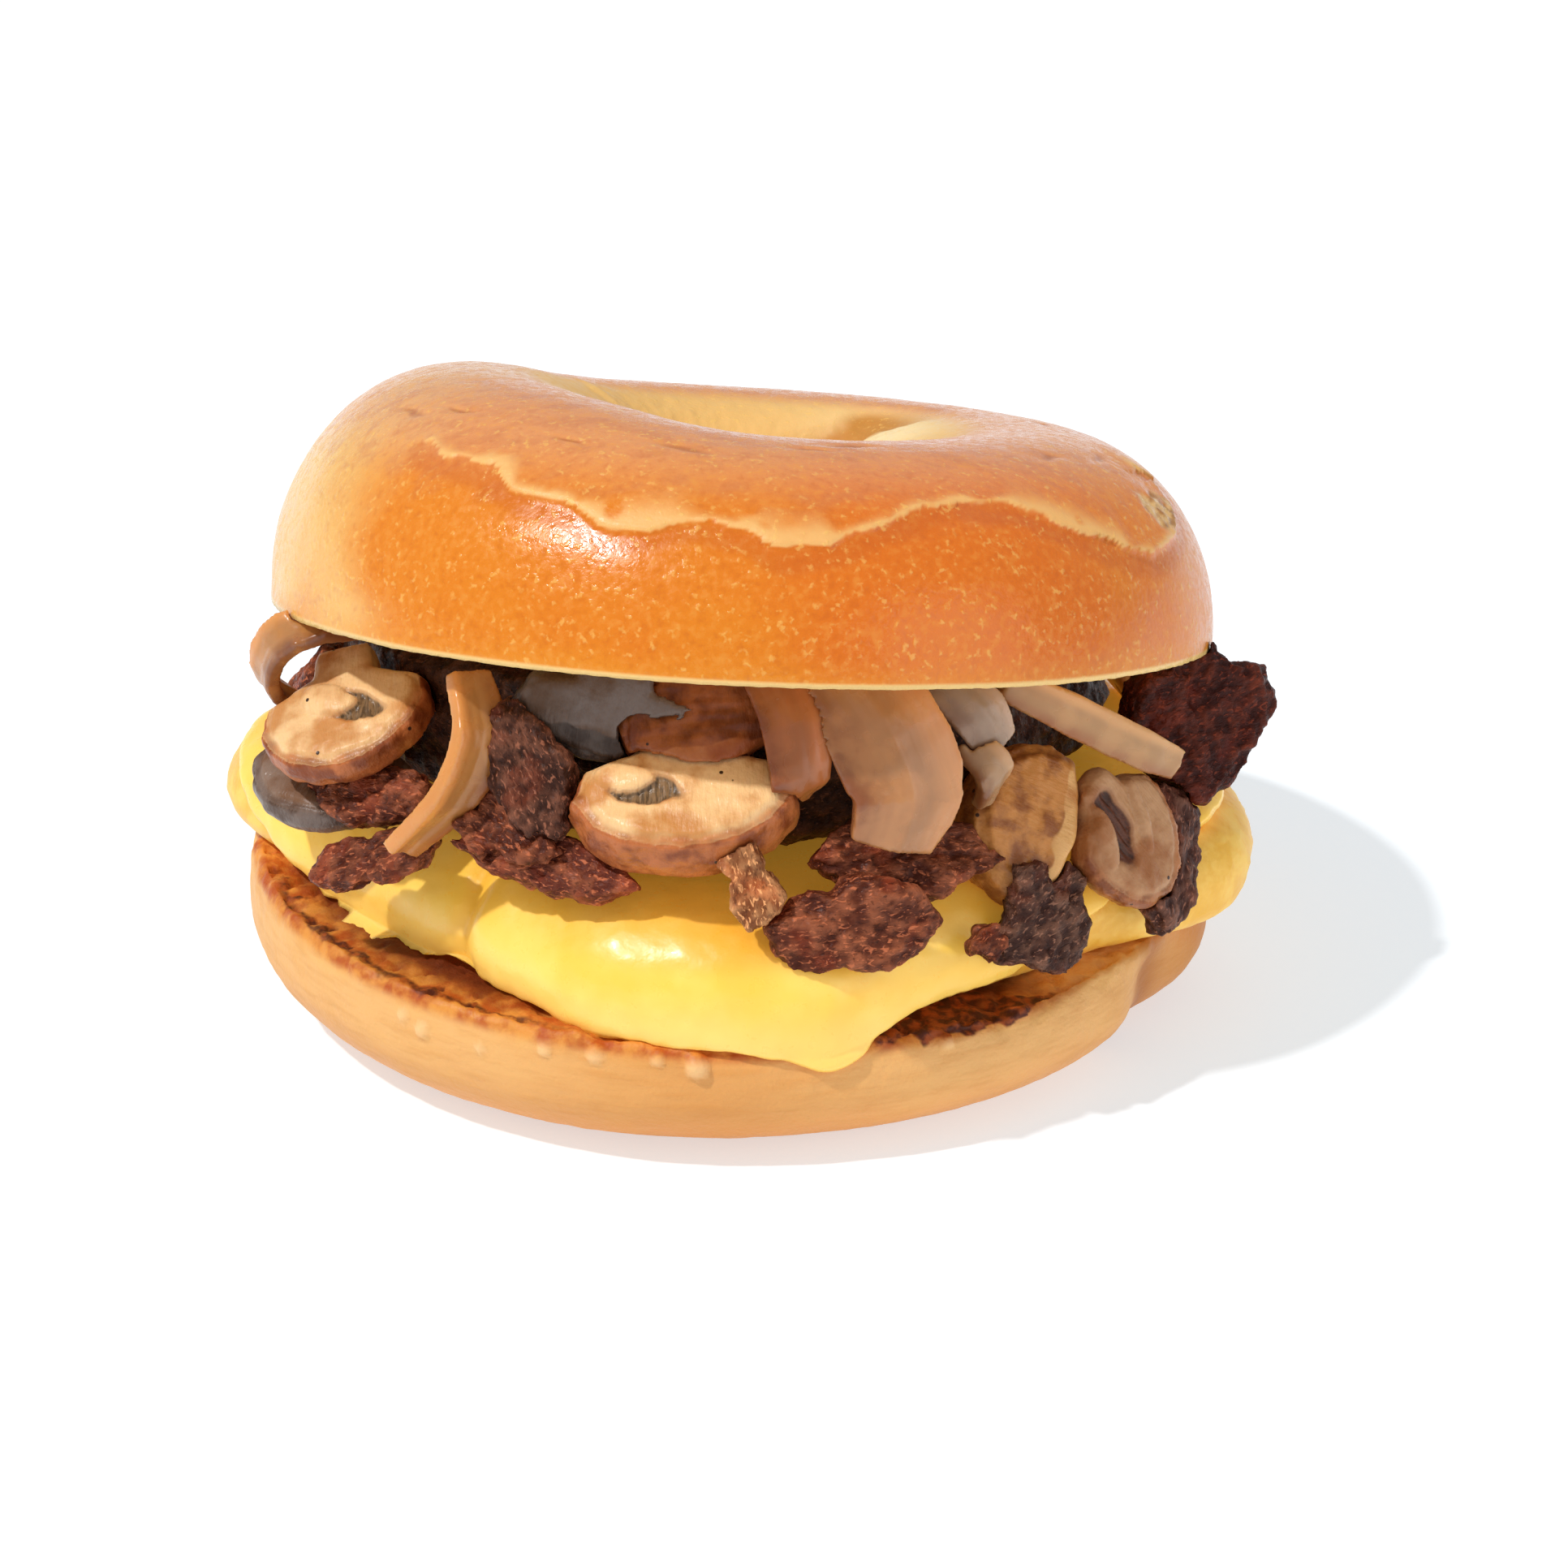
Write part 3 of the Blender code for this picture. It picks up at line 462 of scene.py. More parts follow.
def spot(azimuth, angle, at, size):
    """Mask of an oval patch, its middle and half size given as azimuth and angle."""
    away = ((angle_between(azimuth, at[0]) / size[0]) ** 2 + ((angle - at[1]) / size[1]) ** 2)
    return np.exp(-away)


# How deeply the crust is baked, by azimuth
CROWN_BAKE = ((-172, 0.05), (-150, 0.22), (-132, 0.5), (-112, 0.62), (-90, 0.72), (-68, 1.0),
              (-48, 0.98), (-26, 0.62), (0, 0.5), (60, 0.65), (120, 0.5))

# Small cracks and dents of the crust: azimuth, angle, and half size both ways
CROWN_DENTS = ((-101, 70, 5.0, 1.6), (-72, 84, 5.5, 1.5), (-80, 79, 4.0, 1.2), (-34, 71, 3.5, 2.0),
               (12, 84, 6.0, 1.6), (-20, 66, 4.0, 2.0), (-150, 60, 4.5, 1.4), (-141, 66, 4.0, 1.2),
               (-118, 64, 3.5, 1.0), (100, 62, 5.0, 1.6), (160, 70, 4.0, 1.5))
BURST_AT = (-20.0, 42.0)
BURST_SIZE = (7.5, 9.0)


def seam_masks(flat, azimuth, angle):
    """Masks of the overlapping lip, its pale edge, and the groove under it, which also carries
    painted shade.
    """
    round_front = angle_between(azimuth, -75.0)
    near = (round_front > -80) & (round_front < 85) & (angle > 5) & (angle < 80)
    distance, above = np.full(len(flat), 50.0), np.zeros(len(flat))
    wobble = np.stack([rough(flat[near], 4.0, seed) for seed in (11, 12, 13)], -1)
    distance[near], above[near] = nearest_on(seam_path(), flat[near] + 0.7 * wobble)
    signed = distance * np.where(above > 0, 1.0, -1.0)
    breadth = 0.9 + 1.9 * ease(rough(flat, 12.0, 3), -0.1, 0.35)
    close = distance < 20
    lip = ease(signed, -0.7, 0.4) * np.exp(-np.maximum(signed, 0) / (2.2 * breadth))
    pale = ease(signed, -0.4, 0.2) * np.exp(-np.maximum(signed, 0) / breadth)
    pale = pale * ease(layered(flat, 3.0, 2, 5), -1.2, -0.1)
    return lip * close, pale * close, bell(signed + 1.6, 1.5) * (signed < 0)


def dent_mask(flat, azimuth, angle):
    dents = 0.0
    ragged = angle + 2.2 * rough(flat, 3.0, 9)
    for at_azimuth, at_angle, wide, high in CROWN_DENTS:
        dents = np.maximum(dents, spot(azimuth, ragged, (at_azimuth, at_angle), (wide, high)))
    return dents


def make_crown(material):
    """Upper half: a glazed dome with a puckered dimple and a seam round its front."""
    azimuth = np.arange(CROWN_COLUMNS) * 360.0 / CROWN_COLUMNS
    angle = np.linspace(0.0, 180.0, CROWN_ROWS)
    grid_azimuth, grid_angle = np.meshgrid(azimuth, angle)
    outside = crown_surface(grid_azimuth, grid_angle)
    share = np.linspace(0.0, 1.0, CROWN_CUT_ROWS + 2)[1:-1, None, None]
    cut = outside[-1] * (1 - share) + outside[0] * share
    points = np.concatenate((outside, cut))
    mesh = grid_mesh("crown_look", points)
    flat = points.reshape(-1, 3)
    azimuths = np.tile(azimuth, len(points))
    angles = np.concatenate((grid_angle.ravel(), np.full(cut.size // 3, -90.0)))
    skin = ease(angles, -5.0, 2.0)
    lip, pale, lower = seam_masks(flat, azimuths, angles)
    burst = spot(azimuths, angles, BURST_AT, BURST_SIZE)
    burst = ease(burst + 0.35 * layered(flat, 3.0, 3, 7), 0.45, 0.75)
    dents = dent_mask(flat, azimuths, angles)
    inside = ease(angles, 92.0, 118.0)
    relief = 0.07 * layered(flat, 7.0, 2, 1) + 0.018 * layered(flat, 1.8, 2, 2)
    relief = relief + 0.5 * lip + 0.08 * pale * layered(flat, 1.2, 2, 14) - 0.07 * lower
    relief = relief + burst * (0.30 * layered(flat, 1.5, 3, 4) - 0.1) - 0.28 * dents
    inward = ease(angles, 78.0, 165.0)
    fold = angle_between(azimuths, 78.0 - 42.0 * (1 - inward) + 6.0 * rough(flat, 5.0, 6))
    crease = inside * bell(fold, 9.0 + 5.0 * (1 - inward))
    left_ridge = inside * bell(angle_between(azimuths, 146.0) + 5.0 * rough(flat, 4.0, 16), 3.0)
    relief = relief - 1.1 * crease + 0.6 * left_ridge + inside * 0.16 * layered(flat, 2.0, 2, 15)
    crumb = 0.5 * layered(flat, 1.4, 3, 8) * (1 - skin)
    push_out(mesh, skin * relief + crumb)
    # The masks below the seam and along the crease carry painted shade, the bulge mask painted light,
    # and rise the top's painted sheen.
    store(mesh, rise=np.clip(flat[:, 2] / 25.0, 0, 1) * skin, inside=inside, burst=burst,
          bake=ring_value(CROWN_BAKE, azimuths), seam=pale, below_seam=lower, dent=dents,
          crease=crease, cut=1 - skin,
          bulge=inside * beside(azimuths, 34.0, 28.0))
    turn = crown_matrix()
    add_piece("crown_crust", mesh, "crown", material,
              lambda p: place_centred(p @ turn.T + CROWN_CENTRE))


def crown_material():
    """Glazed crust: paler at the cut rim, with painted shade in a darker orange below the seam and
    along the dimple's crease, a pale bulge in the dimple brightened as painted light, and a browner
    tan over the top that is partly painted sheen.
    """
    r = Recipe("crown_crust")
    cloud = r.noise(14.0, 4.0)
    speckle = r.noise(1.0, 4.0)
    bake = r.math("ADD", r.mask("bake"), r.swing(cloud, 0.7))
    r.colour = r.mix(r.level(bake, 0.0, 0.5), srgb(241, 192, 108), srgb(228, 130, 22))
    r.lay(r.level(bake, 0.5, 1.05), 224, 112, 18)
    r.lay(r.ramp("rise", 0.16, 0.0, 0.0, 0.4), 234, 150, 36)
    # Partly painted sheen: the top turns a pale pinkish tan, browner crust mixed with painted
    # reflection of the pale surround.
    r.lay(r.ramp("rise", 0.70, 1.0, 0.0, 0.66), 229, 160, 108)
    streaks = r.level(r.noise(2.6, 5.0, r.stretched(r.place, (0.5, 1.0, 1.0))), 0.46, 0.66)
    r.lay(r.math("MULTIPLY", streaks, r.ramp("rise", 0.55, 0.9, 0.0, 0.45)), 206, 122, 72)
    r.lay(r.level(speckle, 0.48, 0.74, 0.0, 0.35), 238, 160, 62)
    r.lay(r.level(speckle, 0.48, 0.28, 0.0, 0.25), 190, 86, 20)
    # Painted shade: darker orange in the groove under the seam's lip.
    r.lay(r.ramp("below_seam", 0.1, 0.9, 0.0, 0.38), 196, 88, 20)
    r.lay(r.ramp("inside", 0.0, 0.8), 238, 188, 110)
    # Painted light: the dimple's right bulge, unbrowned dough painted paler still where light falls
    # on it.
    r.lay(r.mask("bulge"), 255, 228, 172)
    # Painted shade: golden dark along the dimple's crease.
    r.lay(r.ramp("crease", 0.15, 0.8, 0.0, 0.9), 196, 124, 22)
    r.lay(r.ramp("seam", 0.08, 0.7, 0.0, 0.85), 244, 190, 114)
    grain = r.math("MULTIPLY", r.level(r.noise(0.8, 2.0), 0.56, 0.7),
                   r.level(r.noise(4.0), 0.36, 0.56))
    r.lay(r.math("MULTIPLY", grain, 0.42), 252, 200, 104)
    patch = r.mix(r.level(r.noise(1.6, 5.0), 0.35, 0.6), srgb(176, 116, 50), srgb(232, 184, 116))
    r.lay(r.mask("burst"), patch)
    r.lay(r.ramp("dent", 0.3, 1.0, 0.0, 0.6), 168, 84, 30)
    r.lay(r.ramp("rise", 0.030, 0.012), 248, 206, 130)
    r.lay(r.level(r.cells(17.0), 0.030, 0.018), 70, 34, 16)
    r.lay(r.mask("cut"), 240, 192, 112)
    matte = r.math("MULTIPLY", r.math("ADD", r.mask("inside"), r.mask("seam")), 0.3)
    return r.done(Roughness=r.math("ADD", r.level(speckle, 0.35, 0.65, 0.16, 0.34), matte),
                  Normal=r.bump(grain, 0.03, r.bump(r.noise(0.5, 3.0), 0.05)),
                  Subsurface_Weight=0.03, Subsurface_Scale=0.0015, Specular_IOR_Level=0.42)


# Lower half


def heel_cut_height(points):
    return HEEL_CUT_HEIGHT + HEEL_CUT_SLOPE * points[..., 0]


def heel_section():
    """Section of the lower half from the hole's lip out over the cut face and back round."""
    face = [(r, HEEL_CUT_HEIGHT) for r in np.linspace(HEEL_HOLE_LIP, HEEL_LIP, HEEL_FACE_ROWS)]
    quarter = np.radians(np.linspace(0.0, 90.0, HEEL_QUARTER_ROWS))
    rim = HEEL_CUT_HEIGHT - HEEL_WIDE
    lip = [(HEEL_LIP + (HEEL_RADIUS - HEEL_LIP) * math.sin(a), HEEL_WIDE + rim * math.cos(a))
           for a in quarter[2::3]]
    side = [(HEEL_FOOT_OUTER + (HEEL_RADIUS - HEEL_FOOT_OUTER) * math.cos(a),
             HEEL_WIDE * (1 - math.sin(a))) for a in quarter[1:]]
    base = [(r, 0.0) for r in np.linspace(HEEL_FOOT_OUTER, HEEL_FOOT_INNER, HEEL_BASE_ROWS + 2)]
    hole = [(HEEL_FOOT_INNER - (HEEL_FOOT_INNER - HEEL_HOLE_RADIUS) * math.cos(a),
             HEEL_WIDE * (1 - math.sin(a))) for a in quarter[::-3]]
    return np.array(face + lip + side + base[1:-1] + hole)


def heel_shape(azimuth, radius, height):
    """Uneven outside, crease and sloping cut face, as in the solid."""
    outside = np.clip((radius - HEEL_FOOT_OUTER) / (HEEL_RADIUS - HEEL_FOOT_OUTER), 0, 1)
    uneven = 0.5 * rough(polar(azimuth, radius, np.full_like(radius, 4.0)), 24.0)
    crease = CREASE_DEPTH * beside(azimuth, CREASE_AZIMUTH, CREASE_WIDTH)
    lobe = 0.9 * beside(azimuth, CREASE_AZIMUTH + 18.0, 12.0)
    below_cut = 1.0 - bell(HEEL_CUT_HEIGHT - height, 3.0)
    radius = radius + outside * (uneven + (lobe - crease) * below_cut)
    points = polar(azimuth, radius, height)
    points[..., 2] *= heel_cut_height(points) / HEEL_CUT_HEIGHT
    return points


# Blisters and toasted drips under the rim of the lower half: azimuth, height, radius
HEEL_BLISTERS = ((-126, 13.4, 1.1), (-129, 14.2, 0.8), (-104, 15.0, 1.2), (-92.5, 14.2, 1.5),
                 (-97, 15.1, 1.0), (-63.5, 14.2, 0.9), (-110, 14.6, 0.9), (-118, 13.2, 0.7))


def blister_domes(flat, azimuth, side):
    """Mask of the blisters and how far they swell, where the outside faces out."""
    blister = swelling = np.zeros(len(flat))
    for at_azimuth, at_height, size in HEEL_BLISTERS:
        away = np.hypot(np.radians(angle_between(azimuth, at_azimuth)) * HEEL_RADIUS,
                        flat[:, 2] - at_height)
        dome = np.sqrt(np.maximum(0.0, 1 - (away / size) ** 2)) * side
        blister = np.maximum(blister, dome)
        swelling = swelling + 0.75 * size * dome
    return blister, swelling


def make_heel(material):
    """Lower half: pale crust below, a toasted and charred cut face above."""
    section = heel_section()
    azimuth = np.arange(HEEL_COLUMNS) * 360.0 / HEEL_COLUMNS
    azimuth, radius, height = np.broadcast_arrays(azimuth, section[:, :1], section[:, 1:])
    points = heel_shape(azimuth, radius, height)
    mesh = grid_mesh("heel_look", points)
    flat = points.reshape(-1, 3)
    azimuths, radii, heights = azimuth.ravel(), radius.ravel(), height.ravel()
    face = (heights > HEEL_CUT_HEIGHT - 0.01) * 1.0
    rim_near = bell(radii - HEEL_LIP, 2.0) * ease(heights, 12.5, 15.8)
    ragged = layered(flat, 3.2, 4, 21)
    char_right = beside(azimuths, -60.0, 13.0)
    char_left = ease(angle_between(azimuths, -158.0), -14.0, 2.0)
    char_left = char_left * (1 - ease(angle_between(azimuths, -100.0), -22.0, 4.0))
    pits = ease(layered(flat, 2.2, 3, 22), 0.12, 0.55)
    under_rim = ease(heights, 8.5, 12.5) * (1 - face)
    relief = 0.12 * layered(flat, 5.0, 3, 23) + 0.05 * layered(flat, 1.4, 2, 24)
    relief = relief + rim_near * (0.55 * ragged + char_right * 0.7 * layered(flat, 1.6, 3, 25))
    relief = relief + face * (0.3 * layered(flat, 2.4, 3, 26) - 0.5 * pits)
    relief = relief + under_rim * 0.22 * np.abs(rough(flat, 2.6, 27))
    blister, swelling = blister_domes(flat, azimuths, (radii > HEEL_FOOT_OUTER) & (face < 0.5))
    push_out(mesh, (relief + swelling) * ease(heights, 0.2, 3.0))
    bare = beside(azimuths, -24.0, 24.0)
    face_and_rim = np.clip(face + rim_near, 0, 1)
    exposed = ease(radii, 40.0, 50.0)
    rim_line = bell(radii + 1.2 * ragged - 56.3, 0.8) * face_and_rim
    char = (face * exposed * char_left * ease(ragged, 0.1, 0.6) * 0.45
            + rim_line * (0.65 * char_left + 0.15) + 0.25 * pits * face)
    crags = ease((rim_near + 0.7 * face) * char_right * 1.5 + 0.55 * ragged, 0.6, 0.95)
    char = np.clip(char * (1 - bare) + crags, 0, 1)
    # Toward the cheese the cut face darkens: partly char, partly painted shade under the cheese's
    # edge.
    inner = ease(radii + 1.8 * ragged, 56.0, 51.0) * face
    # The lobe and crease masks carry painted shade into the colour.
    store(mesh, toast=face_and_rim * (1 - bare), char=char, inner=inner, blister=blister,
          rise=np.clip(heights / 16.0, 0, 1), tan=beside(azimuths, -92.0, 17.0),
          lobe=beside(azimuths, CREASE_AZIMUTH + 14.0, 12.0) * (1 - face),
          crease=beside(azimuths, CREASE_AZIMUTH, 3.5) * (1 - face))
    add_piece("heel_crust", mesh, "heel", material)


def heel_material():
    """Pale matte crust with a browner foot, and a toasted face with charred crags; painted shade
    darkens the lobe, the crease and the face toward the cheese.
    """
    r = Recipe("heel_crust")
    cloud = r.noise(11.0, 4.0)
    streak = r.noise(1.0, 3.0, r.stretched(r.place, (0.16, 0.16, 1.0)))
    rise = r.math("ADD", r.mask("rise"), r.swing(cloud, 0.4))
    r.colour = r.mix(r.level(rise, 0.1, 0.75), srgb(228, 156, 82), srgb(240, 181, 110))
    r.lay(r.level(rise, 0.85, 1.05, 0.0, 0.6), 246, 186, 102)
    r.lay(r.level(streak, 0.4, 0.75, 0.0, 0.4), 216, 146, 72)
    r.lay(r.ramp("rise", 0.10, 0.0, 0.0, 0.8), 200, 112, 36)
    # Painted shade: the lobe behind the crease darker brown.
    r.lay(r.part("lobe", 0.75), 196, 118, 44)
    # Painted shade: darker brown in the crease.
    r.lay(r.part("crease", 0.7), 164, 90, 36)
    r.lay(r.part("tan", 0.55), 216, 140, 62)
    r.lay(r.part("blister", 0.85), 250, 200, 138)
    swirl = r.noise(2.6, 5.0)
    toasted = r.mix(r.level(swirl, 0.34, 0.66), srgb(186, 84, 20), srgb(230, 150, 62))
    # Dark toast on the inner face: char with painted shade under the cheese.
    toasted = r.mix(r.mask("inner"), toasted, r.mix(swirl, srgb(76, 28, 6), srgb(140, 58, 14)))
    r.lay(r.ramp("toast", 0.25, 0.8), toasted)
    charred = r.mix(r.level(r.noise(1.3, 4.0), 0.4, 0.66), srgb(82, 30, 8), srgb(166, 76, 24))
    r.lay(r.ramp("char", 0.2, 0.85), charred)
    return r.done(Roughness=r.level(cloud, 0.3, 0.7, 0.46, 0.6),
                  Normal=r.bump(streak, 0.12, r.bump(r.noise(0.6, 4.0), 0.14)),
                  Subsurface_Weight=0.06, Subsurface_Scale=0.002, Specular_IOR_Level=0.35)


def heel_outer_radius(height):
    """Radius of the lower half's outside at a height."""
    up = np.clip((height - HEEL_WIDE) / (HEEL_CUT_HEIGHT - HEEL_WIDE), 0, 1)
    down = np.clip(1 - height / HEEL_WIDE, 0, 1)
    lip = HEEL_LIP + (HEEL_RADIUS - HEEL_LIP) * np.sqrt(1 - up ** 2)
    foot = HEEL_FOOT_OUTER + (HEEL_RADIUS - HEEL_FOOT_OUTER) * np.sqrt(1 - down ** 2)
    return np.where(height > HEEL_WIDE, lip, foot)


# Egg and cheese


def egg_side(azimuth, travel, lift):
    """Points on the egg's outside, travel past its shoulder, raised by lift off its skin."""
    radius = ring_value(EGG_OUTLINE, azimuth)
    angle = math.pi / 2 * np.clip(travel / EGG_QUARTER, 0, 1)
    out_r, out_z = np.sin(angle) / EGG_SHOULDER, np.cos(angle) / EGG_DROP
    length = np.hypot(out_r, out_z)
    radius = (radius - EGG_SHOULDER * (1 - np.sin(angle)) + np.minimum(travel, 0)
              + lift * out_r / length)
    height = (EGG_WIDE_HEIGHT + EGG_DROP * np.cos(angle) + lift * out_z / length
              - np.maximum(travel - EGG_QUARTER, 0))
    return polar(azimuth, radius, height)


def patty_grid(rings, segments):
    """Azimuth, share of the way out and whether it is the upper side, for a closed patty."""
    latitude = np.linspace(math.pi / 2, -math.pi / 2, rings + 2)[1:-1]
    azimuth = np.arange(segments) * 360.0 / segments
    grid_azimuth, grid_latitude = np.meshgrid(azimuth, latitude)
    share = (1 - np.abs(grid_latitude) / (math.pi / 2)) ** PATTY_RING_POWER
    return grid_azimuth, share, grid_latitude >= 0


def make_egg(material):
    """Egg patty, seen at its two corners: a smooth skin with small bubbles."""
    azimuth, share, upper = patty_grid(*EGG_GRID)
    radius = ring_value(EGG_OUTLINE, azimuth)
    top = egg_side(azimuth, share * (radius - EGG_SHOULDER + EGG_QUARTER)
                   - (radius - EGG_SHOULDER), 0.0)
    under = polar(azimuth, radius * share, np.zeros_like(radius))
    floor = heel_cut_height(under) + EGG_FLOOR_GAP
    rim = np.clip((radius * share - (radius - EGG_UNDERCUT)) / EGG_UNDERCUT, 0, 1)
    under[..., 2] = floor + (EGG_WIDE_HEIGHT - floor) * (1 - np.sqrt(1 - rim ** 2))
    points = np.where(upper[..., None], top, under)
    mesh = grid_mesh("egg_look", points, (0, 0, EGG_TOP),
                     (0, 0, HEEL_CUT_HEIGHT + EGG_FLOOR_GAP))
    flat = read_points(mesh)
    bubbles = np.maximum(0.0, rough(flat, 1.8, 31) - 0.25)
    push_out(mesh, 0.18 * layered(flat, 5.0, 3, 32) + 0.5 * bubbles)
    add_piece("egg_patty", mesh, "egg", material)


def egg_material():
    """Cooked egg: soft yellow with paler curds and a few grains of pepper, and a faint painted glow.
    """
    r = Recipe("egg")
    curd = r.noise(3.2, 4.0, None, 0.4)
    r.colour = r.mix(r.level(curd, 0.36, 0.66), srgb(240, 182, 66), srgb(250, 202, 96))
    r.lay(r.level(r.cells(7.0), 0.062, 0.045), 84, 52, 26)
    # Painted light: a faint glow of the egg's own colour through emission.
    return r.done(Roughness=r.level(curd, 0.3, 0.7, 0.36, 0.5),
                  Normal=r.bump(r.noise(0.8, 3.0), 0.12), Specular_IOR_Level=0.4,
                  Subsurface_Weight=0.12, Subsurface_Scale=0.003, Subsurface_Radius=(1.0, 0.6, 0.2),
                  Emission_Color=r.colour, Emission_Strength=0.08)


FOLD_AZIMUTH = -125.0


def make_cheese(material):
    """Melted cheese: a soft sheet over the egg, folded at the left, with a drip in front."""
    azimuth, share, upper = patty_grid(*CHEESE_GRID)
    radius = ring_value(EGG_OUTLINE, azimuth)
    frill = polar(azimuth, 50.0, np.zeros_like(radius))
    reach = ring_value(CHEESE_REACH, azimuth) + 0.5 * layered(frill, 5.0, 3, 41)
    drip = 1.2 * beside(azimuth, -76.5, 3.6)
    length = radius - EGG_SHOULDER + reach + drip
    edge = np.sqrt(np.maximum(0.0, 1 - share ** 10))
    ripple = 0.35 * rough(polar(azimuth, share * length, np.zeros_like(share)), 12.0)
    middle = CHEESE_GAP + 0.3 * CHEESE_THICKNESS
    over = middle + (0.6 * CHEESE_THICKNESS + ripple) * edge
    under = np.where(share > 0.99, middle, CHEESE_GAP)
    lift = np.where(upper, over, under)
    points = egg_side(azimuth, share * length - (radius - EGG_SHOULDER), lift)
    low = ease(heel_cut_height(points) - points[..., 2], -0.5, 1.0)
    clear = heel_outer_radius(points[..., 2]) + np.where(upper, 0.5 + 1.1 * edge, 0.1)
    wanted = np.maximum(radius_of(points), clear)
    out = radius_of(points) * (1 - low) + wanted * low
    points = polar(azimuth, out, points[..., 2])
    pole = EGG_TOP + CHEESE_GAP
    mesh = grid_mesh("cheese_look", points, (0, 0, pole + CHEESE_THICKNESS), (0, 0, pole))
    flat = read_points(mesh)
    azimuths, radii = azimuth_of(flat), radius_of(flat)
    shoulder = ease(radii, 38.0, 46.0)
    top_side = np.concatenate((upper.ravel(), (True, False))) * 1.0
    fold = angle_between(azimuths, FOLD_AZIMUTH) + 1.5 * rough(flat, 7.0, 42)
    crease = -1.1 * bell(fold + 1.5, 2.2) + 0.8 * bell(fold - 4.0, 4.5)
    sag = 0.5 * beside(azimuths, -98.0, 12.0)
    edge_roll = 0.35 * rough(flat, 6.0, 43) + 0.12 * rough(flat, 2.2, 44)
    push_out(mesh, top_side * shoulder * (crease + sag + edge_roll))
    flat = read_points(mesh)
    thin = ease(flat[:, 2] - heel_cut_height(flat), 6.5, 1.0)
    # The deep mask marks where painted shade tints the cheese deep orange beside the filling.
    deep = ease(flat[:, 2], 24.5, 27.5) * beside(azimuths, -84.0, 26.0)
    store(mesh, low=thin, deep=deep, fold=bell(fold + 1.0, 2.6) * shoulder)
    add_piece("cheese_melt", mesh, "cheese", material)


def cheese_material():
    """Glossy melted cheese, deeper in folds, deep orange by the filling as painted shade, paler where
    the edge thins, and lit by a painted warm glow.
    """
    r = Recipe("cheese")
    cloud = r.noise(9.0, 3.0)
    r.colour = r.mix(r.level(cloud, 0.35, 0.7), srgb(253, 200, 76), srgb(255, 213, 104))
    r.lay(r.part("low", 0.45), 254, 218, 128)
    r.lay(r.part("fold", 0.55), 232, 166, 42)
    # Painted shade: deep orange by the filling.
    r.lay(r.part("deep", 0.5), 238, 148, 22)
    r.lay(r.level(r.cells(13.0), 0.034, 0.022), 96, 60, 28)
    # Painted light: a warm orange glow through emission.
    return r.done(Roughness=r.level(r.noise(1.5, 3.0), 0.3, 0.7, 0.26, 0.4),
                  Normal=r.bump(r.noise(2.4, 3.0), 0.10), Specular_IOR_Level=0.5,
                  Subsurface_Weight=0.12, Subsurface_Scale=0.003, Subsurface_Radius=(1.0, 0.65, 0.2),
                  Emission_Color=srgb(255, 190, 64), Emission_Strength=0.18, Coat_Weight=0.1)


# Filling


def rounded_solid(node, voxel, smoothing):
    """Closed fine mesh with the form of a CAD node, its facets rounded, and its points in
    millimetres."""
    mesh = reworked(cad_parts[node].data.copy(), lambda bm: bmesh.ops.remove_doubles(
        bm, verts=bm.verts, dist=WELD_GAP * MM))
    base = new_object(node + "_base", mesh)
    write_points(mesh, read_points(mesh) / MM - AXIS_SHIFT)
    remesh = base.modifiers.new("Fine", "REMESH")
    remesh.mode = "VOXEL"
    remesh.voxel_size = voxel
    soften = base.modifiers.new("Round", "SMOOTH")
    soften.iterations = smoothing
    soften.factor = 0.5
    graph = bpy.context.evaluated_depsgraph_get()
    fine = bpy.data.meshes.new_from_object(base.evaluated_get(graph))
    bpy.data.objects.remove(base, do_unlink=True)
    return fine, read_points(fine)


def facing_matrix(azimuth, elevation, spin):
    """Turns a piece drawn in XY, as seen from outside, to face an azimuth and elevation."""
    out, across = toward(azimuth, elevation), toward(azimuth + 90.0, 0.0)
    up = np.cross(out, across)
    basis = np.stack((across, up, out), -1)
    return basis @ np.array(Matrix.Rotation(math.radians(spin), 3, "Z"))


# Mushroom slices, as their solids: node, place, facing, spin, width and cap height
MUSHROOMS = (
    ("mushroom_left", (-43.8, -26.6, 44.6), (-128, 58), 215, 22.0, 10.2),
    ("mushroom_left_under", (-45.6, -23.5, 35.8), (-128, 62), 190, 22.0, 9.0),
    ("mushroom_front", (-4.0, -47.6, 43.2), (-97, 58), 186, 27.0, 9.8),
    ("mushroom_front_top", (-1.6, -45.0, 50.0), (-92, 34), 8, 21.0, 8.5),
    ("mushroom_dark", (-12.0, -43.6, 52.6), (-100, 8), 172, 25.0, 7.0),
    ("mushroom_right_cap", (36.2, -36.9, 34.0), (-58, 30), 56, 20.0, 9.8),
    ("mushroom_right_slice", (46.0, -33.0, 32.6), (-44, 24), 205, 16.0, 11.0),
    ("mushroom_back_left", (-43.0, 22.0, 37.2), (150, 30), 20, 19.0, 9.0),
    ("mushroom_back_right", (49.0, 10.0, 36.0), (15, 30), 200, 18.0, 9.0),
)

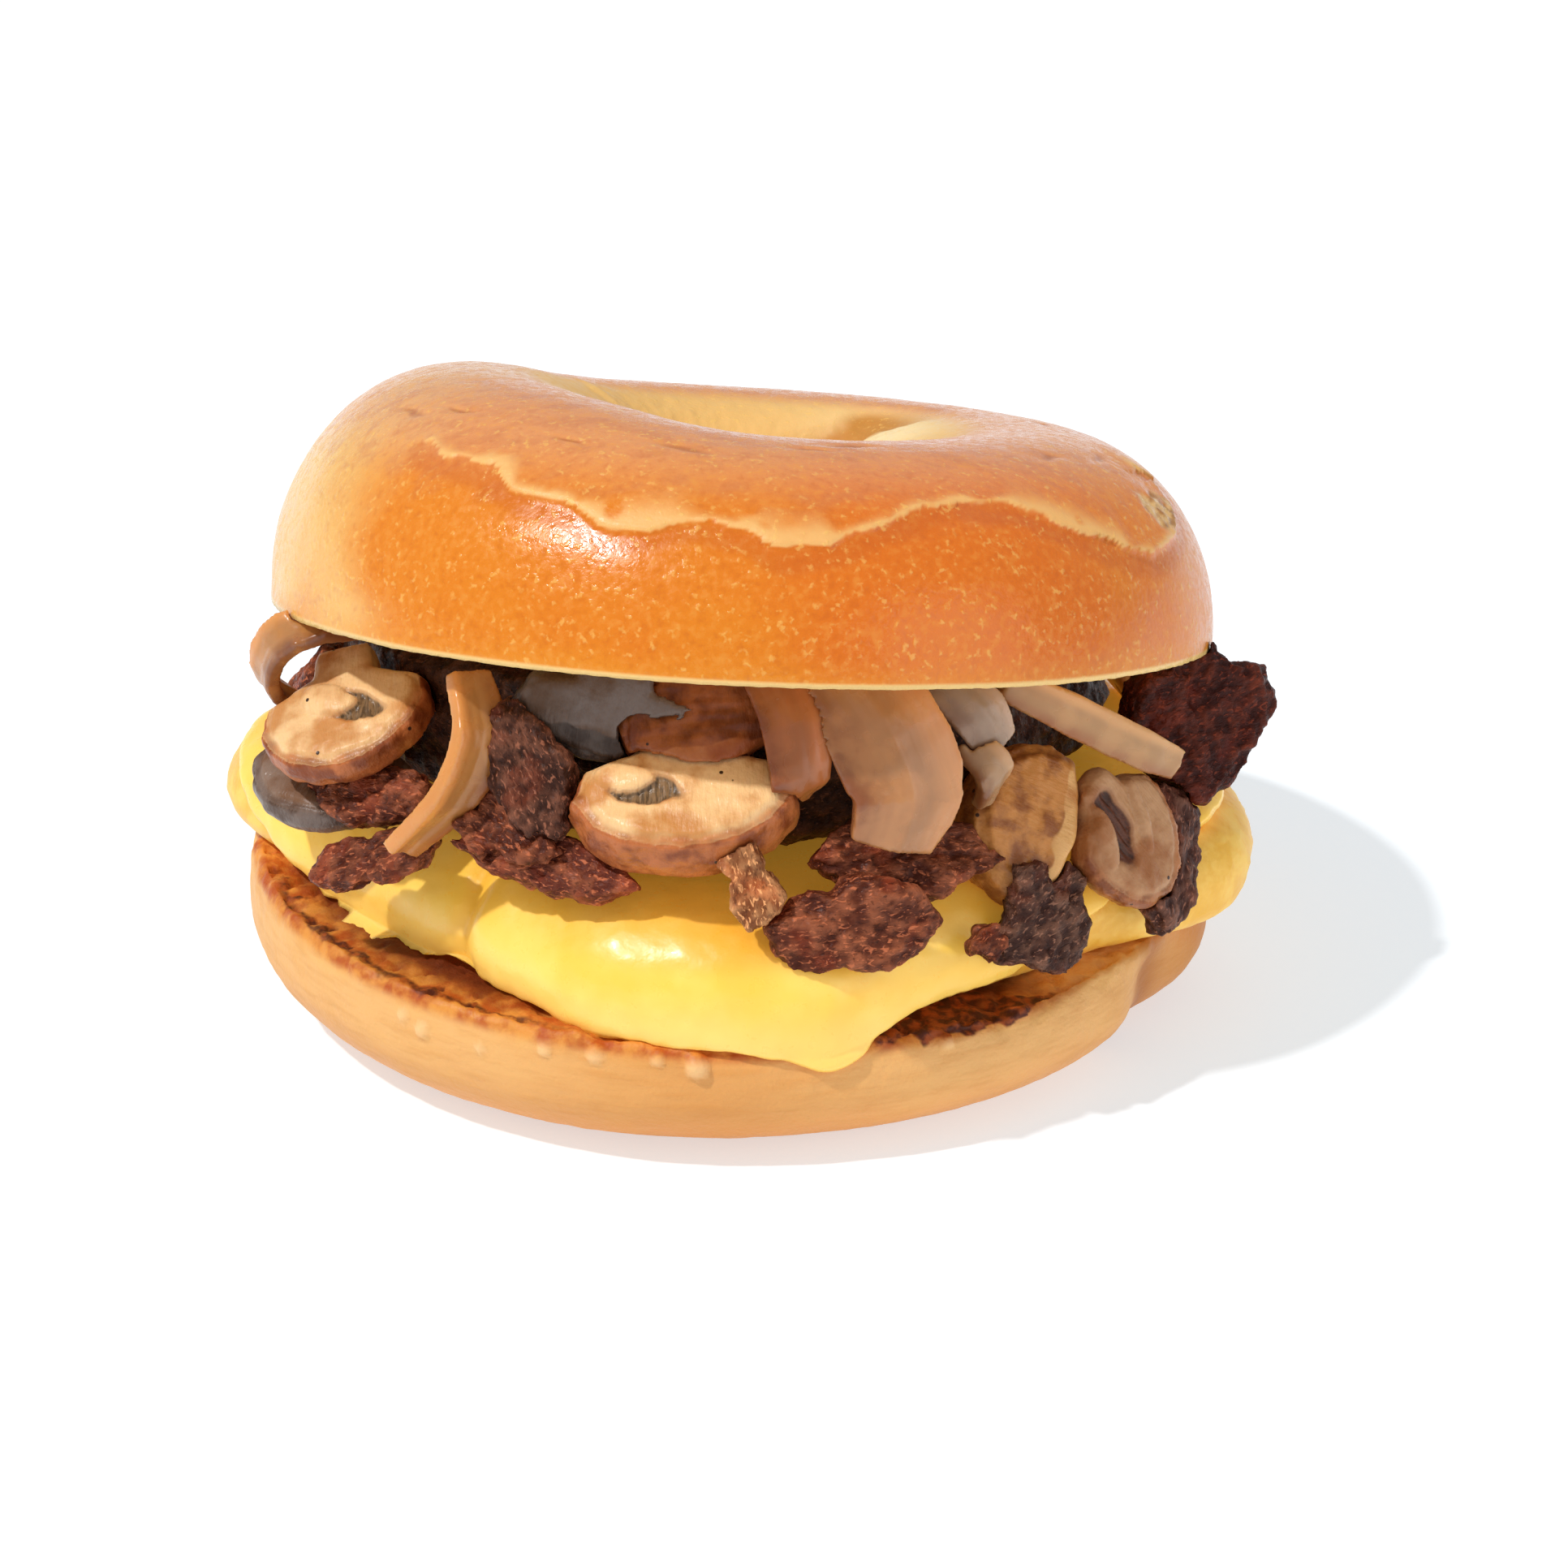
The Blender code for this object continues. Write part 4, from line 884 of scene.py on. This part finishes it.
# Flesh, skin and gill colours of each mushroom that isn't the common brown
MUSHROOM_TONES = {
    "mushroom_left_under": ((140, 114, 96), (118, 100, 90), (76, 62, 52)),
    "mushroom_dark": ((112, 96, 88), (84, 70, 62), (56, 44, 38)),
    "mushroom_front_top": ((176, 104, 56), (156, 84, 40), (84, 42, 20)),
    "mushroom_right_cap": ((230, 174, 106), (206, 136, 66), (96, 56, 28)),
    "mushroom_right_slice": ((196, 146, 102), (186, 114, 64), (100, 50, 24)),
}
COMMON_MUSHROOM = ((245, 200, 142), (192, 110, 58), (138, 108, 76))

# Marks on the cut faces: gill pockets and knobs of stem, each with its place across and along
# the slice, half length, half width and turn in degrees
MUSHROOM_POCKETS = {
    "mushroom_front": ((4.4, 1.6, 4.4, 2.0, -12),),
    "mushroom_left": ((-1.6, 1.6, 4.6, 2.2, 150),),
    "mushroom_right_slice": ((2.2, -1.2, 5.0, 2.6, 72),),
}
COMMON_POCKETS = ((4.0, 0.5, 2.2, 0.9, 10), (-4.0, 0.5, 2.2, 0.9, -10))
MUSHROOM_KNOBS = {
    "mushroom_front": ((6.6, 0.0, 3.6, 1.9, -10),),
    "mushroom_left": ((1.4, 0.2, 3.8, 2.2, 150),),
    "mushroom_right_slice": ((3.9, -1.6, 4.2, 1.4, 72), (-2.2, 0.6, 4.6, 1.0, 66)),
}

# Slices whose dome faces the front, so that skin covers them down to this height along them and
# no pocket shows
SKIN_DOWN_TO = {"mushroom_right_cap": -1.2, "mushroom_front_top": -2.0, "mushroom_dark": 3.0}


def oval(local, numbers, wavy):
    """Distance from the middle of a turned oval, 1 at its edge."""
    across, along, half_long, half_wide, turn = numbers
    cosine, sine = math.cos(math.radians(turn)), math.sin(math.radians(turn))
    x, y = local[:, 0] - across, local[:, 1] - along
    return np.hypot((x * cosine + y * sine) / half_long, (y * cosine - x * sine) / half_wide) + wavy


def make_mushroom(number, node, at, facing, spin, width, cap):
    """Sliced mushroom: pale cut faces, brown skin round the cap and dark gills by the stem."""
    mesh, flat = rounded_solid(node, MUSHROOM_VOXEL, 6)
    turn = facing_matrix(*facing, spin)
    local, normals = (flat - np.array(at)) @ turn, read_normals(mesh) @ turn
    across, along = local[:, 0], local[:, 1]
    flat_side = ease(np.abs(normals[:, 2]), 0.6, 0.9)
    wavy = rough(local, 2.2, number)
    dome = np.hypot(across / (width / 2), along / np.where(along >= 0, cap, 0.4 * cap))
    cap_side = ease(along, -0.35 * cap, 0.05 * cap)
    band = ease(dome + 0.05 * wavy, 0.78, 0.93) * flat_side * cap_side
    skin = (1 - flat_side) * cap_side
    if node in SKIN_DOWN_TO:
        skin = np.maximum(skin, ease(along + 0.8 * wavy - SKIN_DOWN_TO[node], -0.5, 0.5))
    gill = knob = np.zeros(len(flat))
    pockets = () if node in SKIN_DOWN_TO else MUSHROOM_POCKETS.get(node, COMMON_POCKETS)
    for numbers in pockets:
        gill = np.maximum(gill, ease(oval(local, numbers, 0.22 * wavy), 1.15, 0.75))
    for numbers in MUSHROOM_KNOBS.get(node, ()):
        away = oval(local, numbers, 0.18 * wavy)
        knob = np.maximum(knob, np.sqrt(np.maximum(0.0, 1 - away ** 2)))
    gill, knob = gill * flat_side * (1 - ease(knob, 0.0, 0.4)), knob * flat_side
    ridges = np.sin(across * 5.5 + 1.5 * rough(local, 4.0, number))
    relief = 0.12 + 0.24 * layered(flat, 4.0, 3, 50 + number) - 0.6 * gill * (1 + 0.25 * ridges)
    relief = relief + skin * 0.2 * rough(local * (0.5, 2.5, 1.0), 2.4, 60 + number)
    relief = relief + 0.9 * knob - 0.3 * bell(band - 0.5, 0.3)
    push_out(mesh, relief)
    store(mesh, skin=skin, gill=gill, band=band, knob=knob, local=local)
    tones = MUSHROOM_TONES.get(node, COMMON_MUSHROOM)
    add_piece(node + "_slice", mesh, node, mushroom_material(node, *tones))


def mushroom_material(name, flesh, skin, gill):
    """Fried mushroom: moist flesh browned in patches, darker skin, gills and pepper."""
    r = Recipe(name)
    local = r.vector("local")
    cloud = r.noise(5.0, 4.0, local)
    fibre = r.noise(0.8, 3.0, r.stretched(local, (1.6, 0.35, 1.0)))
    browned = tuple(c * k for c, k in zip(flesh, (0.84, 0.70, 0.54)))
    r.colour = r.mix(r.level(cloud, 0.42, 0.68), srgb(*flesh), srgb(*browned))
    r.lay(r.level(fibre, 0.5, 0.75, 0.0, 0.16), *browned)
    dark_skin = tuple(c * k for c, k in zip(skin, (0.72, 0.62, 0.54)))
    coat = r.mix(r.level(r.noise(3.0, 4.0), 0.4, 0.65), srgb(*skin), srgb(*dark_skin))
    r.lay(r.ramp("band", 0.2, 0.9, 0.0, 0.75), coat)
    r.lay(r.ramp("skin", 0.25, 0.75), coat)
    r.lay(r.ramp("gill", 0.0, 0.3, 0.0, 0.35), *dark_skin)
    ribs = r.noise(0.5, 2.0, r.stretched(local, (1.8, 0.3, 1.0)))
    under = r.mix(r.level(ribs, 0.4, 0.65), srgb(*gill), srgb(*(c * 0.68 for c in gill)))
    r.lay(r.ramp("gill", 0.35, 0.8), under)
    r.lay(r.level(r.cells(3.4), 0.085, 0.06), 60, 36, 20)
    return r.done(Roughness=r.level(cloud, 0.3, 0.7, 0.28, 0.44),
                  Normal=r.bump(fibre, 0.14, r.bump(r.noise(0.7, 3.0), 0.1)),
                  Subsurface_Weight=0.12, Subsurface_Scale=0.002,
                  Subsurface_Radius=(1.0, 0.5, 0.25), Specular_IOR_Level=0.35)


# Onion strips, as their solids: node, path, width direction, width, colours of flesh and edge
ONIONS = (
    ("onion_curl_left",
     ((-42.0, -20.0, 53.0), (-48.4, -24.0, 54.0), (-52.8, -22.4, 50.8), (-53.8, -20.4, 45.5),
      (-49.6, -17.0, 40.5)),
     (-0.45, 0.85, 0.25), 6.0, (196, 132, 70), (126, 72, 36)),
    ("onion_brown",
     ((-28.5, -40.0, 55.0), (-27.0, -44.4, 49.0), (-30.0, -45.8, 42.0), (-36.6, -44.0, 34.4)),
     (-0.8, -0.5, 0.1), 6.6, (196, 132, 70), (160, 86, 34)),
    ("onion_strip_front",
     ((5.0, -43.0, 57.2), (8.0, -47.6, 53.0), (9.0, -50.6, 47.6), (7.5, -49.4, 44.0)),
     (0.9, 0.2, 0.35), 7.0, (176, 104, 56), (126, 64, 30)),
    ("onion_petal",
     ((13.6, -44.5, 57.0), (18.2, -48.0, 51.5), (21.0, -50.0, 45.0), (19.0, -50.8, 38.6)),
     (0.85, 0.35, 0.3), 13.5, (192, 132, 82), (136, 76, 38)),
    ("onion_bit_upper",
     ((24.0, -40.0, 54.8), (29.0, -41.6, 51.0), (31.5, -41.0, 46.6)),
     (0.75, 0.45, 0.3), 6.5, (172, 142, 118), (130, 92, 66)),
    ("onion_bit_lower",
     ((28.0, -42.4, 47.5), (31.0, -43.6, 44.6), (30.0, -42.4, 40.0)),
     (0.5, 0.3, 0.7), 4.6, (180, 138, 98), (124, 72, 36)),
    ("onion_strip_right",
     ((32.5, -36.5, 52.4), (40.0, -34.7, 47.8), (48.0, -30.4, 41.8), (53.0, -26.0, 37.6)),
     (0.25, 0.1, 0.95), 4.6, (198, 146, 92), (164, 100, 52)),
    ("onion_back",
     ((38.0, 22.0, 39.0), (30.0, 36.0, 36.4), (18.0, 45.0, 34.0)),
     (0.1, 0.1, 1.0), 4.6, (184, 142, 102), (136, 86, 50)),
    ("onion_back_left",
     ((-50.0, 2.0, 47.0), (-53.5, 9.0, 42.0), (-50.5, 17.0, 37.5), (-44.0, 25.0, 34.0)),
     (0.3, 0.0, 0.95), 5.0, (184, 142, 102), (136, 86, 50)),
)


def make_onion(number, node, path, side, width, flesh, edge):
    """Softened strip of onion: fine ridges along it, translucent flesh, browned edges and a painted
    highlight along one edge.
    """
    mesh, flat = rounded_solid(node, ONION_VOXEL, 9)
    stops = np.array(path)
    ends = np.linspace(0, 1, 24)[:, None]
    line = np.concatenate([a * (1 - ends) + b * ends for a, b in zip(stops[:-1], stops[1:])])
    nearest = np.linalg.norm(flat[:, None, :] - line[None], axis=2).argmin(axis=1)
    direction = np.gradient(line, axis=0)
    direction /= np.linalg.norm(direction, axis=1)[:, None]
    wide = np.array(side) - direction * (direction @ np.array(side))[:, None]
    wide /= np.linalg.norm(wide, axis=1)[:, None]
    offset = flat - line[nearest]
    across = np.einsum("ij,ij->i", offset, wide[nearest])
    along = nearest * 0.5
    local = np.stack((across, along, np.zeros(len(flat))), -1)
    ridges = np.sin(across * 4.2 + 1.2 * rough(local, 5.0, number))
    push_out(mesh, 0.1 + 0.025 * ridges + 0.16 * rough(flat, 3.6, 70 + number))
    # The pale mask marks the side that gets a painted highlight.
    store(mesh, local=local, edge=ease(-across / (width / 2), 0.1, 0.9),
          pale=ease(across / (width / 2), 0.25, 0.8))
    add_piece(node + "_strip", mesh, node, onion_material(node, flesh, edge))


def onion_material(name, flesh, edge):
    """Cooked onion: moist, lined along its length, with soaked-in brown and a painted highlight along
    one edge.
    """
    r = Recipe(name)
    lines = r.noise(0.9, 2.0, r.stretched(r.vector("local"), (1.0, 0.08, 1.0)))
    cloud = r.noise(4.0, 3.0)
    dark = tuple(c * 0.92 for c in flesh)
    pale = tuple(min(255.0, c * 1.16) for c in flesh)
    r.colour = r.mix(r.level(cloud, 0.35, 0.65), srgb(*flesh), srgb(*dark))
    # Painted highlight: paler flesh along one edge.
    r.lay(r.part("pale", 0.8), *pale)
    r.lay(r.level(lines, 0.4, 0.7, 0.0, 0.18), *dark)
    browned = r.math("MULTIPLY", r.mask("edge"), r.level(cloud, 0.35, 0.65, 0.4, 1.0))
    r.lay(browned, *edge)
    return r.done(Roughness=r.level(cloud, 0.3, 0.7, 0.2, 0.36), Normal=r.bump(lines, 0.03),
                  Subsurface_Weight=0.35, Subsurface_Scale=0.003,
                  Subsurface_Radius=(1.0, 0.6, 0.35), Specular_IOR_Level=0.6)


STEAK_NODES = sorted(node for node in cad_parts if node.startswith("steak_"))

# Steak colours of each shaving that isn't the common brown: dark and light
STEAK_TONES = {
    "steak_right_slab": ((54, 16, 8), (104, 44, 26)),
    "steak_front_fold": ((126, 70, 38), (206, 146, 96)),
    # Painted shade: the heap's near-black tones stand in for shadow between the pieces.
    "steak_heap": ((44, 22, 12), (92, 56, 36)),
    "steak_left_fold": ((58, 30, 20), (128, 80, 60)),
    "steak_left_front": ((94, 40, 26), (164, 92, 60)),
    "steak_right_low": ((62, 34, 26), (122, 84, 66)),
    "steak_right_end": ((66, 34, 26), (130, 86, 68)),
}
COMMON_STEAK = ((80, 34, 20), (156, 88, 58))


def make_steak(number, node):
    """Shaving of steak: lumpy, with crumbly grain and knots drawn out along its length."""
    heap = node == "steak_heap"
    mesh, flat = rounded_solid(node, STEAK_HEAP_VOXEL if heap else STEAK_VOXEL, 2)
    spread = flat - flat.mean(axis=0)
    axes = np.linalg.eigh(spread.T @ spread)[1]
    local = spread @ axes[:, ::-1]
    grain = layered(local * (0.75, 1.0, 1.0), 1.5, 2, 80 + number)
    knots = np.abs(rough(local * (0.8, 1.0, 1.0), 1.1, 90 + number))
    lumps = layered(flat, 4.5, 2, 100 + number)
    push_out(mesh, 0.1 + (0.6 if node == "steak_right_slab" else 0.34) * lumps
             + 0.38 * grain - 0.42 * knots)
    # The crest mask sets painted light on the crests and painted shade in the hollows.
    store(mesh, local=local, crest=np.clip(0.5 + 0.45 * grain - 0.4 * knots + 0.25 * lumps, 0, 1))
    tones = STEAK_TONES.get(node, COMMON_STEAK)
    add_piece(node + "_shaving", mesh, node, steak_material(node, *tones))


def steak_material(name, dark, light):
    """Browned steak: painted shade in the hollows and painted light on the crests, redder patches,
    and fine crumbs with painted glints.
    """
    r = Recipe(name)
    local = r.stretched(r.vector("local"), (0.5, 1.0, 1.0))
    grain = r.noise(0.7, 4.0, local)
    cloud = r.noise(5.0, 3.0)
    # Painted shade and light: darker in the hollows, lighter on the crests.
    crest = r.math("ADD", r.mask("crest"), r.swing(grain, 0.8))
    r.colour = r.mix(r.level(crest, 0.15, 0.95), srgb(*dark), srgb(*light))
    red = (light[0] * 1.1, light[1] * 0.78, light[2] * 0.6)
    r.lay(r.level(cloud, 0.52, 0.7, 0.0, 0.35), *red)
    crumb = r.noise(0.42, 2.0, local, 0.6)
    # Painted glints: light specks on the crumbly grain.
    r.lay(r.level(crumb, 0.56, 0.7, 0.0, 0.7), *(c * 1.35 for c in light))
    r.lay(r.level(crumb, 0.42, 0.3, 0.0, 0.6), *(c * 0.6 for c in dark))
    return r.done(Roughness=r.level(grain, 0.3, 0.7, 0.32, 0.6),
                  Normal=r.bump(crumb, 0.25, r.bump(grain, 0.25)), Specular_IOR_Level=0.14,
                  Subsurface_Weight=0.03, Subsurface_Scale=0.001)


# Setting


def make_floor():
    """Plain pale floor, brightened so that the shadow on it stays light."""
    mesh = bpy.data.meshes.new("floor")
    corners = [(x * FLOOR_REACH, y * FLOOR_REACH, 0) for x, y in ((-1, -1), (1, -1), (1, 1), (-1, 1))]
    mesh.from_pydata(corners, [], [(0, 1, 2, 3)])
    r = Recipe("floor")
    r.colour = r.mix(r.noise(400.0, 2.0), (0.57, 0.59, 0.61, 1.0), (0.59, 0.61, 0.63, 1.0))
    mesh.materials.append(r.done(Roughness=0.9, Specular_IOR_Level=0.1, Emission_Strength=FLOOR_GLOW,
                                 Emission_Color=(0.93, 1.0, 1.04, 1.0)))
    floor = new_object("floor", mesh)


def add_light(name, kind, azimuth, elevation, strength, size):
    """Light that shines on the sandwich from a direction."""
    light = bpy.data.lights.new(name, kind)
    light.energy = strength
    if kind == "SUN":
        light.angle = math.radians(size)
    else:
        light.shape = "DISK"
        light.size = size
    lamp = new_object(name, light)
    lamp.location = LIGHT_DISTANCE * toward(azimuth, elevation)
    lamp.rotation_euler = (-lamp.location).to_track_quat("-Z", "Y").to_euler()


def light_scene():
    """Hard light from the left and front, a soft fill low on the right, and a pale surround."""
    add_light("key_sun", "SUN", *KEY_SUN)
    add_light("right_fill", "AREA", *RIGHT_FILL)
    world = bpy.data.worlds.new("surround")
    world.use_nodes = True
    background = world.node_tree.nodes["Background"]
    background.inputs["Color"].default_value = (0.97, 0.98, 1.0, 1.0)
    background.inputs["Strength"].default_value = SURROUND_STRENGTH
    bpy.context.scene.world = world


def add_camera():
    camera_data = bpy.data.cameras.new("camera")
    camera_data.sensor_width = 36.0
    camera_data.lens = CAMERA_LENS
    camera = new_object("camera", camera_data)
    camera.location = np.array(CAMERA_AIM) + CAMERA_DISTANCE * toward(-90.0, CAMERA_ELEVATION)
    camera.rotation_euler = (math.radians(90.0 - CAMERA_ELEVATION), 0.0, 0.0)
    bpy.context.scene.camera = camera


def build_scene():
    make_crown(crown_material())
    make_heel(heel_material())
    make_egg(egg_material())
    make_cheese(cheese_material())
    for number, numbers in enumerate(MUSHROOMS):
        make_mushroom(number, *numbers)
    for number, numbers in enumerate(ONIONS):
        make_onion(number, *numbers)
    for number, node in enumerate(STEAK_NODES):
        make_steak(number, node)
    make_floor()
    light_scene()
    add_camera()
    bpy.context.scene.view_settings.view_transform = "Standard"


build_scene()
bpy.context.view_layer.update()
